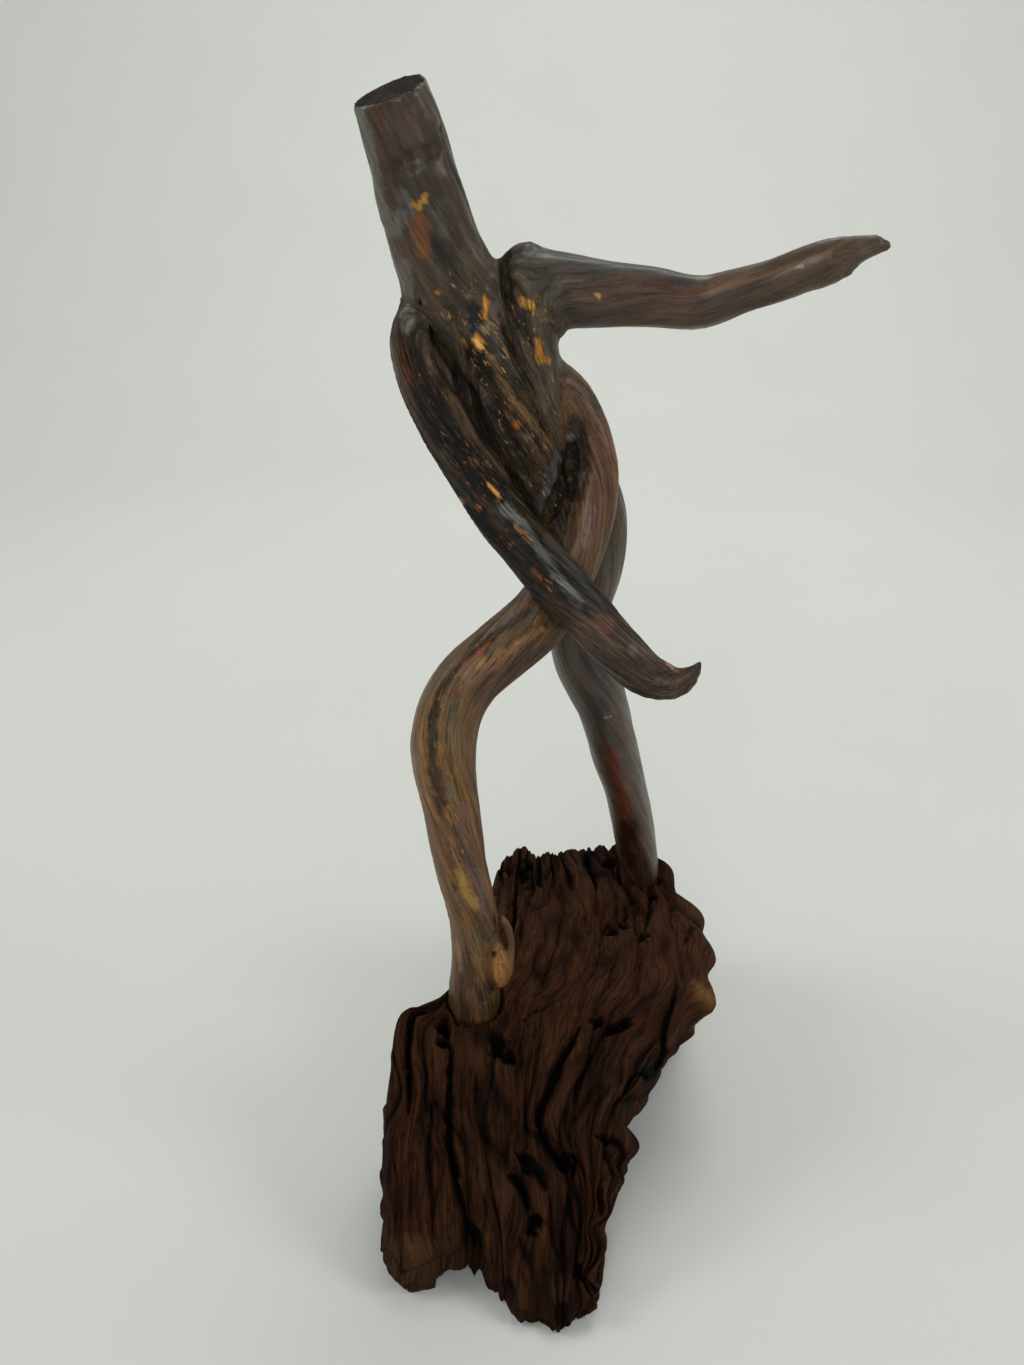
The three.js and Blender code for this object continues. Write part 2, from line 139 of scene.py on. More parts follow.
HOLLOWS = [
    [(-84, -4.2, 453, 1.5), (-79, -5.3, 454, 3.4), (-72, -6.8, 457, 3.8), (-65, -3.2, 459, 2.8)],
    [(-80, -2.6, 444, 1), (-77.5, -2.6, 441, 1.8), (-74, -2.6, 440, 1)],
    [(-70, -3.4, 437, 1), (-68, -2.6, 431, 2.2), (-66, -1.8, 425, 1)],
    [(-68, 3.4, 398, 0.8), (-62, 4.6, 385, 2.2), (-57, 5.4, 375, 3.4), (-53.5, 5.2, 367, 2.8),
     (-48, 3.2, 356, 1.5), (-41, 4, 345, 1.4), (-37, 5, 338, 1.4)],
    [(-42, 16, 424, 2.4), (-42, 8, 414, 2), (-40, 5, 404, 1.6), (-37, 4, 393, 1.3),
     (-34, 5, 384, 1)],
    [(-54, 1.5, 408, 1.8), (-54, 1.5, 403, 2.8), (-54, 1.5, 400, 2)],
    [(-16, 15, 357, 1.6), (-16, 15.5, 349, 3.2), (-18, 13.5, 341, 4.6), (-21.5, 9, 334, 4.2),
     (-26, 5.8, 326, 2.2)],
    [(-29.5, 4, 394, 1.2), (-29, 4, 388, 1.3)],
    [(-64, 1.8, 410, 0.8), (-56, 2.6, 391, 1.5), (-45, 3, 372, 1.8), (-36, 4, 352, 1.6),
     (-30, 4.6, 336, 1)],
    [(-45, 5.6, 405, 0.8), (-40, 5, 391, 1.3), (-32, 7, 375, 1.4), (-27, 8.4, 361, 1.5),
     (-26, 7, 352, 1)],
    [(-74, 5.4, 410, 0.7), (-68, 4.6, 394, 1.5), (-63, 4.4, 386, 1.4)],
    [(-81, 5.6, 394, 0.6), (-74, 1.2, 370, 1.1), (-60, -4.8, 348, 1.2), (-43, -12.8, 322, 0.8)],
    [(-78, 3.8, 391, 0.6), (-69, 0, 370, 1.2), (-55, -4.8, 350, 1.2), (-37, -12.2, 326, 0.8)],
    [(-21, 14.4, 377, 0.6), (-12.6, 15, 360, 1.4), (-10, 13.6, 344, 1.4), (-15, 9.6, 326, 0.8)],
    [(-59, -3, 358, 0.6), (-52, -6.2, 345, 1.1), (-44, -9.2, 334, 0.6)],
    [(-65, 1, 466, 0.7), (-62, 3, 456, 0.8), (-54, 9, 438, 0.9), (-49, 10, 424, 0.8)],
    [(-49.5, -24, 126, 1.1), (-48, -21, 126, 1.1)],
    [(-44.5, -23, 128.6, 1), (-44.5, -20, 128.4, 1.2)],
]

STRAND_STEP = 4.0       # length of one straight piece of a strand
BLEND_REACH = 8.5       # how far from a strand its distance is known
# The grid of points that the strands are melted on: two corners, and the step between.
GRID_LOW = np.array([-101.0, -41.0, 66.0])
GRID_HIGH = np.array([103.0, 106.0, 488.0])
GRID_STEP = 1.12
GRID_SIZE = ((GRID_HIGH - GRID_LOW) / GRID_STEP).astype(int) + 1
FAR_AWAY = 50           # distance of the points of the grid that no strand is near
CARVING_STEP = 2.0      # length of one straight piece of a ridge or hollow
RIDGE_ROUNDING, EDGE_ROUNDING = 3.0, 1.2
SKIN = 3.0              # how far from the surface its distance is kept


def smooth_line(stations, at, pull=0.5):
    """A smooth curve through the stations, where at counts stations from the first."""
    stations = np.asarray(stations, float)
    first = np.minimum(at.astype(int), len(stations) - 2)
    part = (at - first)[:, None]
    padded = np.vstack([2 * stations[0] - stations[1], stations,
                        2 * stations[-1] - stations[-2]])
    p0, p1, p2, p3 = (padded[first + k] for k in range(4))
    gap0, gap1, gap2 = (np.linalg.norm(b - a, axis=1, keepdims=True) ** pull
                        for a, b in ((p0, p1), (p1, p2), (p2, p3)))
    leave = ((p1 - p0) / gap0 - (p2 - p0) / (gap0 + gap1)) * gap1 + (p2 - p1)
    arrive = ((p3 - p2) / gap2 - (p3 - p1) / (gap1 + gap2)) * gap1 + (p2 - p1)
    return (p1 + leave * part + (3 * (p2 - p1) - 2 * leave - arrive) * part**2
            + (2 * (p1 - p2) + leave + arrive) * part**3)


def unit(vectors):
    return vectors / np.maximum(np.linalg.norm(vectors, axis=-1, keepdims=True), 1e-9)


class Strand:
    """A strand of wood: the line down its middle, its radius, and its frame there."""

    def __init__(self, stations, flutes=0, flute_depth=0.0, twist=0.0, depth=1.0,
                 step=STRAND_STEP):
        stations = np.array(stations, float)
        dense = np.linspace(0, len(stations) - 1, 40 * len(stations))
        line = smooth_line(stations[:, :3], dense)
        run = np.append(0, np.cumsum(np.linalg.norm(np.diff(line, axis=0), axis=1)))
        pieces = max(2, round(run[-1] / step))
        self.run = np.linspace(0, run[-1], pieces + 1)
        at = np.interp(self.run, run, dense)
        self.line = smooth_line(stations[:, :3], at)
        self.radius = smooth_line(stations[:, 3:], at, pull=0)[:, 0]
        self.along = unit(np.gradient(self.line, axis=0))
        self.side = unit(np.cross([0.0, 1.0, 0.0], self.along))
        self.deep = np.cross(self.along, self.side)
        self.turn = twist * self.run / run[-1]
        self.flutes, self.flute_depth, self.depth = flutes, flute_depth, depth


def strand_field(strand):
    """Distance from the surface of a strand, at each point of the grid near it."""
    field = np.full(GRID_SIZE, FAR_AWAY, np.float32)
    for i in range(len(strand.line) - 1):
        start, step = strand.line[i], strand.line[i + 1] - strand.line[i]
        radius, growth = strand.radius[i], strand.radius[i + 1] - strand.radius[i]
        reach = 1.1 * max(radius, radius + growth) + BLEND_REACH
        low = np.minimum(start, start + step) - reach - GRID_LOW
        high = np.maximum(start, start + step) + reach - GRID_LOW
        first = np.maximum(np.floor(low / GRID_STEP).astype(int), 0)
        last = np.minimum(np.ceil(high / GRID_STEP).astype(int) + 1, GRID_SIZE)
        if np.any(last <= first):
            continue
        box = tuple(slice(a, b) for a, b in zip(first, last))
        x, y, z = (np.float32(GRID_STEP) * axis.astype(np.float32) + np.float32(shift)
                   for axis, shift in zip(np.ogrid[box], GRID_LOW - start))
        part = np.clip((x * step[0] + y * step[1] + z * step[2]) / (step @ step), 0, 1)
        x, y, z = x - part * step[0], y - part * step[1], z - part * step[2]
        across, deep, along = (x * axis[0] + y * axis[1] + z * axis[2] for axis in
                               (strand.side[i], strand.deep[i], strand.along[i]))
        deep = deep / strand.depth
        size = np.sqrt(across**2 + deep**2 + along**2)
        edge = radius + growth * part
        if strand.flutes:
            turned = np.arctan2(deep, across) + strand.turn[i]
            edge = edge * (1 + strand.flute_depth * np.cos(strand.flutes * turned))
        field[box] = np.minimum(field[box], (size - edge).astype(np.float32))
    return field


def melt(one, other, width):
    """The lower of two fields, rounded where they meet over the given width."""
    share = np.clip(0.5 + 0.5 * (other - one) / width, 0, 1)
    return other + (one - other) * share - width * share * (1 - share)


x_axis, y_axis, z_axis = (low + GRID_STEP * axis for low, axis in
                          zip(GRID_LOW, np.ogrid[tuple(slice(0, n) for n in GRID_SIZE)]))

# Strands melt together in the chest and shoulders, and keep a crease lower down.
melt_width = np.interp(z_axis, [0, 325, 345, 375, 395], [1.4, 1.6, 3, 4.5, 7])
melt_width = melt_width.astype(np.float32)

strands = {name: Strand(**form) for name, form in STRANDS.items()}
root_field = np.full(GRID_SIZE, FAR_AWAY, np.float32)
for name, strand in strands.items():
    field = strand_field(strand)
    if name in SAW_CUTS:
        place, facing = SAW_CUTS[name]
        beyond = sum(n * (axis - p) for n, axis, p in
                     zip(facing, (x_axis, y_axis, z_axis), place)).astype(np.float32)
        field = -melt(-field, -beyond, EDGE_ROUNDING)
    root_field = melt(root_field, field, melt_width)
for ridge in RIDGES:
    field = strand_field(Strand(ridge, step=CARVING_STEP))
    root_field = melt(root_field, field, RIDGE_ROUNDING)
for hollow in HOLLOWS:
    field = strand_field(Strand(hollow, step=CARVING_STEP))
    root_field = -melt(-root_field, field, EDGE_ROUNDING)

grid = openvdb.FloatGrid(SKIN)
grid.copyFromArray(np.clip(root_field, -SKIN, SKIN).astype(np.float32))
points, _, quads = grid.convertToPolygons(isovalue=0.0, adaptivity=0.0)
root_points = GRID_LOW + GRID_STEP * np.asarray(points, float)
root_faces = np.asarray(quads, int)


def value_noise(points, seed):
    """Smooth repeatable noise from -1 to 1, about one swing for each unit of distance."""
    cell = np.floor(points).astype(np.int64)
    part = points - cell
    part = part * part * (3 - 2 * part)
    total = np.zeros(len(points))
    for corner in itertools.product((0, 1), repeat=3):
        at = cell + corner
        mix = at[:, 0] * 73856093 ^ at[:, 1] * 19349663 ^ at[:, 2] * 83492791 ^ seed * 26544357
        mix = (mix ^ mix >> 13) * 1274126177 & 0xffffffff
        mix = (mix ^ mix >> 15) * 668265263 & 0xffffffff
        weight = np.prod(np.where(corner, part, 1 - part), axis=1)
        total += weight * ((mix >> 8 & 0xffff) / 32767.5 - 1)
    return total


def layered_noise(points, seed, layers=3):
    """Value noise with finer and weaker layers added to it."""
    return sum(value_noise(points * 2.03**k, seed + k) / 2**k for k in range(layers))


def smooth_steps(low, high, at):
    part = np.clip((at - low) / (high - low), 0, 1)
    return part * part * (3 - 2 * part)


def linear(colour):
    """A screen colour from 0 to 255 as light, the way that the renderer counts it."""
    colour = np.asarray(colour, float) / 255
    return np.where(colour <= 0.04045, colour / 12.92, ((colour + 0.055) / 1.055) ** 2.4)


def mesh_piece(name, points, faces, values, body):
    """A smooth mesh from drawing millimetres, with vectors or colours at its points."""
    mesh = bpy.data.meshes.new(name)
    mesh.from_pydata(((points + CENTRING) * METRES).tolist(), [], faces)
    mesh.polygons.foreach_set("use_smooth", [True] * len(mesh.polygons))
    for label, value in values.items():
        kind = "color" if value.shape[1] == 4 else "vector"
        layer = mesh.attributes.new(label, "FLOAT_" + kind.upper(), "POINT")
        layer.data.foreach_set(kind, value.ravel())
    piece = bpy.data.objects.new(name, mesh)
    bpy.context.scene.collection.objects.link(piece)
    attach(piece, body)
    return piece


def mesh_normals(points, quads):
    """Outward directions at the points of a closed mesh of quads."""
    face = np.cross(points[quads[:, 2]] - points[quads[:, 0]],
                    points[quads[:, 3]] - points[quads[:, 1]])
    total = np.zeros_like(points)
    for k in range(4):
        for axis in range(3):
            total[:, axis] += np.bincount(quads[:, k], face[:, axis], len(points))
    return unit(total)


# Wood colours along each strand, from its first station to its last, and how far its
# surface is rough black bark instead of polished wood, from 0 to 1.
STRAND_COLOURS = {
    "neck": ([(74, 60, 52), (70, 57, 48), (72, 60, 52), (66, 54, 44), (44, 36, 28),
              (38, 31, 24), (42, 33, 24), (40, 31, 23)], [0, 0, 0.1, 0.3, 0.8, 1, 0.9, 0.8]),
    "chest_left": ([(62, 54, 46), (46, 38, 31), (36, 30, 24), (34, 28, 22)], [0.5, 0.8, 1, 1]),
    "chest_right": ([(62, 54, 40), (70, 62, 54), (84, 74, 64), (82, 68, 54)],
                    [0.4, 0.5, 0.3, 0.4]),
    "front_arm": ([(60, 50, 44), (46, 33, 26), (20, 14, 10), (15, 11, 8), (19, 14, 10),
                   (32, 26, 20), (58, 47, 39), (66, 52, 42), (62, 50, 42)],
                  [0.4, 0.9, 1, 1, 1, 0.9, 0.7, 0.6, 0.3]),
    "out_arm": ([(58, 52, 42), (62, 54, 46), (82, 66, 56), (88, 68, 58), (86, 68, 54),
                 (86, 68, 48), (86, 68, 50), (82, 66, 50)],
                [0.3, 0.2, 0.1, 0.1, 0.1, 0.1, 0.1, 0.1]),
    "front_leg": ([(92, 70, 48), (100, 74, 50), (116, 82, 60), (106, 78, 54), (84, 58, 34),
                   (98, 70, 40), (116, 86, 54), (120, 90, 56), (116, 80, 44), (120, 86, 50),
                   (114, 82, 48), (74, 52, 26), (44, 28, 14)],
                  [0.3, 0.4, 0.4, 0.4, 0.6, 0.5, 0.4, 0.3, 0.4, 0.4, 0.4, 0.5, 0.5]),
    "back_leg": ([(80, 70, 58), (86, 78, 66), (84, 74, 62), (58, 50, 42), (64, 54, 46),
                  (74, 60, 50), (74, 56, 42), (62, 42, 28), (44, 28, 17)],
                 [0.1, 0.1, 0, 0.1, 0.1, 0, 0, 0, 0]),
    "thumb": ([(92, 74, 62), (80, 60, 46)], [0, 0]),
    "heel_knot": ([(150, 104, 58), (158, 108, 58)], [0.2, 0.2]),
    "heel_curl": ([(88, 62, 36), (84, 62, 38)], [0.2, 0.2]),
}

# Marks, painted sheen and shade: colour, strength, radius, how broken the edge is, and where it
# runs.
MARKS_AND_PAINTED_LIGHT = [
    # Painted sheen: a pale grey highlight down the left edge of the neck.
    ((118, 116, 106), 0.75, 3.2, 0.4,
     [(-92, -2, 471), (-88, 1, 456), (-86, 4, 443), (-83, 4, 434)]),
    ((84, 38, 20), 0.7, 2.8, 0.5, [(-86, -7, 473), (-84, -4, 461), (-84, -3, 457)]),
    ((138, 84, 34), 0.8, 3.2, 0.4, [(-73, -1, 436), (-71, 1, 427)]),
    ((104, 104, 102), 0.7, 2.2, 0.4, [(-78.4, -1.3, 445), (-77, -1, 441), (-80, 0, 437)]),
    # Painted shade in the crease across the neck.
    ((52, 42, 30), 0.45, 3.4, 0.7, [(-83, -2, 454), (-76, -5, 456), (-67, -3, 459)]),
    ((96, 74, 66), 0.6, 4.2, 0.5, [(-76, -7, 468), (-73, -6, 463)]),
    ((92, 88, 82), 0.6, 2.6, 0.7, [(-66, -1, 441), (-64, 0, 434)]),
    ((44, 38, 32), 0.7, 1.8, 0.5, [(-68.4, 0, 431), (-66, 0, 425)]),
    ((200, 142, 52), 1, 0.9, 0.8, [(-75, -1, 442), (-73, -2, 442), (-70, -2, 445)]),
    ((30, 27, 24), 0.8, 0.6, 0.2, [(-65, 1, 464), (-63, 2, 458), (-54, 14, 437), (-50, 9, 424)]),
    ((40, 36, 30), 0.7, 2.9, 0.6, [(-67, 1, 427), (-61, 1, 419)]),
    # Painted sheen: a pale grey highlight on the left of the shoulder knob.
    ((102, 98, 88), 0.8, 3.0, 0.3, [(-79, 5, 422), (-77, 9, 410), (-79, 7, 401)]),
    ((62, 28, 16), 0.8, 1.9, 0.5, [(-81, 6, 393), (-80, 5, 381)]),
    # Painted sheen: a grey highlight on the upper left edge of the front arm.
    ((108, 98, 90), 0.7, 1.3, 0.3, [(-86, 10, 395), (-84, 8, 380)]),
    ((190, 110, 30), 1, 0.9, 0.5, [(-67, 2, 413)]),
    ((130, 125, 115), 0.6, 1.5, 0.8, [(-57, 2, 412)]),
    # Painted shade: the small hole in the chest is blue-black.
    ((20, 24, 36), 1, 2.2, 0.2, [(-54, 3, 407), (-54, 3, 399)]),
    ((200, 135, 50), 1, 0.9, 0.5, [(-50, 4, 410), (-50, 4, 404)]),
    ((160, 138, 98), 0.8, 1.1, 0.6, [(-49, 4, 401), (-50, 3, 399)]),
    ((226, 166, 76), 1, 1.7, 0.5, [(-54, 3, 396), (-52, 3, 394)]),
    ((150, 100, 40), 0.9, 0.8, 0.8, [(-59, 3, 396), (-57, 3, 394)]),
    ((72, 58, 26), 0.8, 4.1, 0.4, [(-37, 9, 417)]),
    ((206, 146, 60), 1, 1.2, 0.6, [(-37, 6, 409), (-33, 6, 408)]),
    ((24, 20, 14), 0.9, 2.6, 0.5, [(-41, 8, 411), (-36, 5, 402), (-31, 5, 395)]),
    ((192, 126, 40), 0.95, 1.5, 0.5, [(-30, 5, 395), (-29, 6, 388)]),
    ((200, 130, 60), 0.9, 1.2, 0.6, [(-26, 8, 388)]),
    ((92, 82, 78), 0.7, 2.7, 0.4, [(-46, 5, 407), (-44, 5, 392), (-36, 6, 383)]),
    # Painted shade: the deep hollow between the front arm and the chest is black.
    ((8, 7, 6), 1, 2.8, 0.2, [(-61, 5, 383), (-56, 5, 374), (-54, 5, 368)]),
    ((72, 55, 34), 0.8, 2.3, 0.5, [(-65, 2, 376), (-59, 1, 367), (-47, -1, 350), (-36, 6, 337)]),
    ((26, 22, 18), 0.9, 3.9, 0.3, [(-75, 2, 376), (-68, -1, 364), (-59, -3, 355), (-47, -9, 334)]),
    # Painted sheen: a rose-brown highlight low on the left edge of the front arm.
    ((150, 114, 88), 0.7, 1.6, 0.3, [(-60, -2, 335)]),
    ((122, 76, 30), 0.8, 1.4, 0.6, [(-55, -4, 351)]),
    ((140, 80, 35), 0.8, 1.6, 0.6, [(-53, -8, 334)]),
    ((192, 142, 72), 1, 0.7, 0.2, [(-49, -6, 343), (-45, -8, 338)]),
    # Painted highlight: a grey sheen along the polished facet of the front arm.
    ((112, 113, 108), 0.8, 2.0, 0.3,
     [(-43, -9, 334), (-37, -11, 329), (-29, -14, 319), (-23, -17, 310), (-14, -20, 299)]),
    ((190, 140, 85), 0.9, 1.0, 0.5, [(-38, -11, 328), (-33, -13, 323)]),
    ((122, 94, 58), 0.8, 1.9, 0.4, [(-48, 3, 389), (-42, 4, 376), (-33, 6, 366), (-25, 9, 356)]),
    ((24, 19, 13), 0.9, 3.1, 0.4, [(-53, 3, 389), (-47, 4, 376), (-42, 4, 362), (-36, 5, 349)]),
    ((150, 85, 30), 0.8, 1.2, 0.6, [(-38, 4, 365)]),
    ((92, 80, 64), 0.7, 2.7, 0.5, [(-34, 7, 381), (-29, 9, 370), (-33, 6, 360)]),
    # Painted sheen: a blue-grey shine along a rounded rim low on the chest.
    ((66, 70, 74), 0.6, 2.4, 0.5, [(-22, 10, 351), (-24, 7, 343), (-27, 5, 336), (-29, 5, 329)]),
    # Painted shade: the deep gap between the strands is black.
    ((8, 8, 9), 1, 4.0, 0.3, [(-16, 16, 354), (-17, 16, 346), (-19, 12, 338), (-23, 7, 330)]),
    ((22, 18, 13), 0.9, 4.2, 0.6, [(-14, 16, 361), (-12, 15, 346), (-19, 9, 329)]),
    ((130, 128, 120), 0.7, 1.6, 0.7, [(-17, 17, 357)]),
    ((112, 74, 58), 0.8, 3.3, 0.3, [(-5, 17, 361), (-3, 15, 348), (-4, 11, 332), (-9, 6, 320)]),
    ((140, 112, 100), 0.7, 1.6, 0.5, [(-6, 9, 329), (-10, 4, 315)]),
    ((84, 64, 42), 0.8, 3.2, 0.4, [(-15, 17, 375), (-8, 17, 369)]),
    ((120, 85, 40), 0.8, 0.9, 0.4, [(8, 31, 327), (7, 25, 313)]),
    ((48, 50, 44), 0.85, 2.6, 0.4, [(-32, 14, 424), (-12, 10, 421), (10, 12, 419), (31, 11, 416)]),
    ((98, 73, 60), 0.7, 3.7, 0.4, [(-14, 8, 411), (4, 8, 412), (25, 9, 410)]),
    ((98, 48, 42), 0.5, 2.6, 0.5, [(10, 9, 414), (17, 9, 415)]),
    ((118, 76, 38), 0.7, 1.6, 0.7,
     [(24, 9, 412), (34, 9, 414), (48, 8, 417), (66, 5, 423), (80, 4, 428)]),
    ((82, 68, 60), 0.7, 2.6, 0.4, [(34, 9, 407), (48, 7, 412), (65, 5, 416)]),
    ((98, 78, 66), 0.6, 2.9, 0.3, [(80, 3, 424), (88, 4, 427)]),
    ((225, 175, 85), 1, 0.7, 0.8, [(-9, 8, 412), (-7, 8, 410)]),
    ((205, 160, 90), 0.9, 0.8, 0.8, [(65, 5, 421), (67, 5, 421)]),
    ((90, 88, 82), 0.7, 2.2, 0.5, [(-22, 7, 416), (-26, 8, 410)]),
    ((48, 48, 44), 0.7, 2.6, 0.5, [(-17, 9, 405)]),
    ((56, 58, 54), 0.8, 2.8, 0.4, [(-25, -11, 322), (-15, -15, 309), (-4, -19, 296)]),
    ((40, 30, 22), 0.8, 2.8, 0.4, [(-44, -11, 328), (-31, -17, 310), (-16, -20, 295)]),
    ((152, 90, 40), 0.8, 0.8, 0.4, [(-32, -17, 312), (-29, -18, 309)]),
    ((112, 72, 54), 0.8, 3.2, 0.6, [(-5, -21, 293), (-2, -23, 290)]),
    ((50, 44, 40), 0.7, 3.2, 0.4, [(2, -23, 288), (13, -26, 279)]),
    ((112, 90, 80), 0.6, 2.0, 0.5, [(8, -26, 282)]),
    ((200, 140, 70), 1, 0.5, 0.2, [(22, -26, 275), (26, -31, 274)]),
    ((66, 48, 34), 0.8, 3.6, 0.4, [(14, -32, 271), (23, -34, 270), (29, -34, 273)]),
    ((66, 54, 32), 0.7, 2.0, 0.4, [(-13, -22, 289), (-1, -27, 278)]),
    ((96, 84, 62), 0.8, 2.1, 0.4,
     [(-39, -2, 291), (-56, -5, 276), (-71, -10, 262), (-78, -13, 247)]),
    ((34, 24, 16), 0.9, 1.9, 0.3,
     [(-33, -6, 290), (-45, -7, 282), (-57, -11, 272), (-68, -15, 261), (-73, -18, 246),
      (-73, -20, 239)]),
    ((142, 80, 32), 0.8, 1.7, 0.5, [(-50, -10, 276), (-61, -13, 266)]),
    ((64, 30, 24), 0.8, 1.7, 0.5, [(-50, -11, 274)]),
    # Golden wood with a painted highlight along the top of the thigh.
    ((166, 120, 64), 0.85, 1.7, 0.5, [(-28, -8, 283), (-45, -11, 273), (-53, -13, 268)]),
    ((124, 92, 78), 0.7, 2.1, 0.4, [(-34, -9, 279), (-46, -12, 269), (-58, -15, 263)]),
    ((112, 96, 72), 0.8, 3.4, 0.4, [(-64, -18, 252), (-65, -19, 237)]),
    ((26, 18, 12), 0.9, 2.2, 0.6, [(-74, -20, 237), (-73, -21, 222), (-70, -22, 206)]),
    ((152, 106, 52), 0.8, 1.4, 0.6, [(-78, -17, 244), (-78, -18, 226), (-75, -19, 208)]),
    ((150, 108, 58), 0.8, 1.6, 0.6, [(-68, -21, 205), (-66, -22, 186), (-62, -22, 160)]),
    ((34, 24, 16), 0.8, 1.5, 0.7, [(-71, -21, 196), (-67, -22, 176), (-64, -22, 150)]),
    ((134, 98, 44), 0.8, 1.3, 0.4, [(-71, -20, 236), (-69, -21, 222)]),
    ((66, 52, 46), 0.8, 2.5, 0.4, [(-28, -6, 274), (-42, -10, 263), (-53, -13, 253)]),
    ((118, 104, 96), 0.7, 1.7, 0.3, [(-80, -16, 232), (-81, -16, 221)]),
    ((82, 44, 24), 0.7, 3.0, 0.5, [(-72, -21, 223), (-71, -22, 204)]),
    ((150, 104, 44), 0.8, 1.3, 0.5, [(-64, -19, 222), (-58, -16, 203), (-57, -16, 190)]),
    ((112, 84, 76), 0.7, 2.6, 0.3, [(-63, -20, 204), (-62, -21, 195)]),
    ((108, 100, 84), 0.7, 1.7, 0.5, [(-67, -21, 216), (-66, -21, 211)]),
    ((128, 84, 40), 0.8, 2.2, 0.4, [(-75, -20, 206), (-70, -21, 183), (-66, -22, 168)]),
    ((92, 70, 62), 0.8, 3.4, 0.3,
     [(-65, -22, 193), (-57, -20, 170), (-52, -20, 150), (-50, -20, 134)]),
    ((162, 124, 68), 0.85, 1.8, 0.4, [(-64, -22, 175), (-61, -23, 163), (-57, -23, 153)]),
    ((116, 84, 52), 0.7, 2.3, 0.4, [(-66, -21, 158), (-64, -21, 135)]),
    ((92, 84, 54), 0.7, 2.8, 0.5, [(-57, -24, 142), (-56, -24, 131)]),
    ((150, 112, 92), 0.7, 1.4, 0.4, [(-65, -20, 129), (-64, -21, 116)]),
    ((80, 44, 34), 0.7, 2.3, 0.5, [(-61, -23, 127), (-61, -24, 120)]),
    ((168, 112, 58), 0.9, 3.3, 0.3, [(-46, -25, 123), (-47, -25, 119)]),
    ((96, 74, 46), 0.8, 1.9, 0.3, [(-43, -18, 142), (-41, -19, 134)]),
    ((84, 60, 28), 0.8, 3.8, 0.4, [(-65, -23, 101)]),
    ((46, 29, 17), 0.8, 4.2, 0.4, [(-54, -25, 104), (-51, -24, 109)]),
    ((130, 86, 40), 0.8, 0.9, 0.6, [(-53, -25, 99)]),
    ((72, 30, 26), 0.8, 2.2, 0.5, [(-8, 17, 260), (-5, 20, 247)]),
    ((38, 36, 32), 0.8, 3.6, 0.3, [(-5, -24, 276), (2, 25, 240), (4, 30, 221)]),
    ((68, 58, 48), 0.8, 3.3, 0.3, [(-13, 19, 253), (-5, 29, 226), (3, 41, 196)]),
    ((84, 64, 48), 0.7, 3.4, 0.4, [(8, 31, 227), (20, 46, 193)]),
    ((102, 40, 20), 0.85, 3.4, 0.4, [(8, 38, 200), (14, 46, 179), (20, 57, 151)]),
    ((42, 12, 5), 1, 5.0, 0.3, [(22, 60, 143), (25, 70, 113)]),
    ((78, 60, 46), 0.7, 3.7, 0.3, [(28, 59, 171), (35, 68, 129)]),
    ((140, 130, 118), 0.8, 0.5, 0.4, [(4, 29, 223), (7, 30, 223)]),
]

# Where gold specks of bare wood show through the dark: strength, radius, places.
SPECKLED = [
    (0.9, 9, [(-58, 3, 410), (-52, 3, 398), (-46, 4, 384), (-40, 5, 366), (-30, 5, 340)]),
    (0.8, 7, [(-34, 6, 404), (-28, 7, 390), (-22, 14, 366)]),
    (0.8, 6, [(-14, 15, 360), (-13, 14, 346), (-20, 9, 330)]),
    (0.5, 8, [(-74, 2, 380), (-60, -2, 356), (-46, -9, 334), (-28, -16, 310)]),
    (0.5, 7, [(-34, -7, 288), (-56, -12, 270), (-72, -18, 244)]),
    (0.5, 7, [(-70, -21, 226), (-68, -21, 196), (-62, -22, 168), (-58, -24, 132)]),
]
# Facets that hands and cloth have polished: strength, radius, places.
POLISHED = [
    (1, 2.4, [(-43, -9, 334), (-29, -14, 319), (-14, -20, 299), (0, -23, 287)]),
    (0.8, 3.5, [(-79, 5, 422), (-77, 9, 410), (-79, 7, 401)]),
    (0.8, 2, [(-92, -2, 471), (-86, 3, 443), (-80, 4, 428)]),
    (0.9, 1.8, [(-22, 10, 351), (-24, 7, 343), (-27, 5, 336), (-29, 5, 329)]),
    (0.7, 3, [(-84, 8, 385), (-76, 2, 366), (-66, -3, 350), (-55, -7, 335)]),
    (0.8, 3, [(-5, 17, 361), (-3, 15, 348), (-4, 11, 332), (-9, 6, 320)]),
]
GRAIN_TURN = 0.0165     # how fast the grain winds round a strand, in radians a millimetre
TONE_STEP = 1.0         # spacing of the points that carry grain along a strand
TONE_MELT = 1.2         # how far the colours of two strands run into each other
BATCHES = 60            # parts that the points are taken in, to spare memory


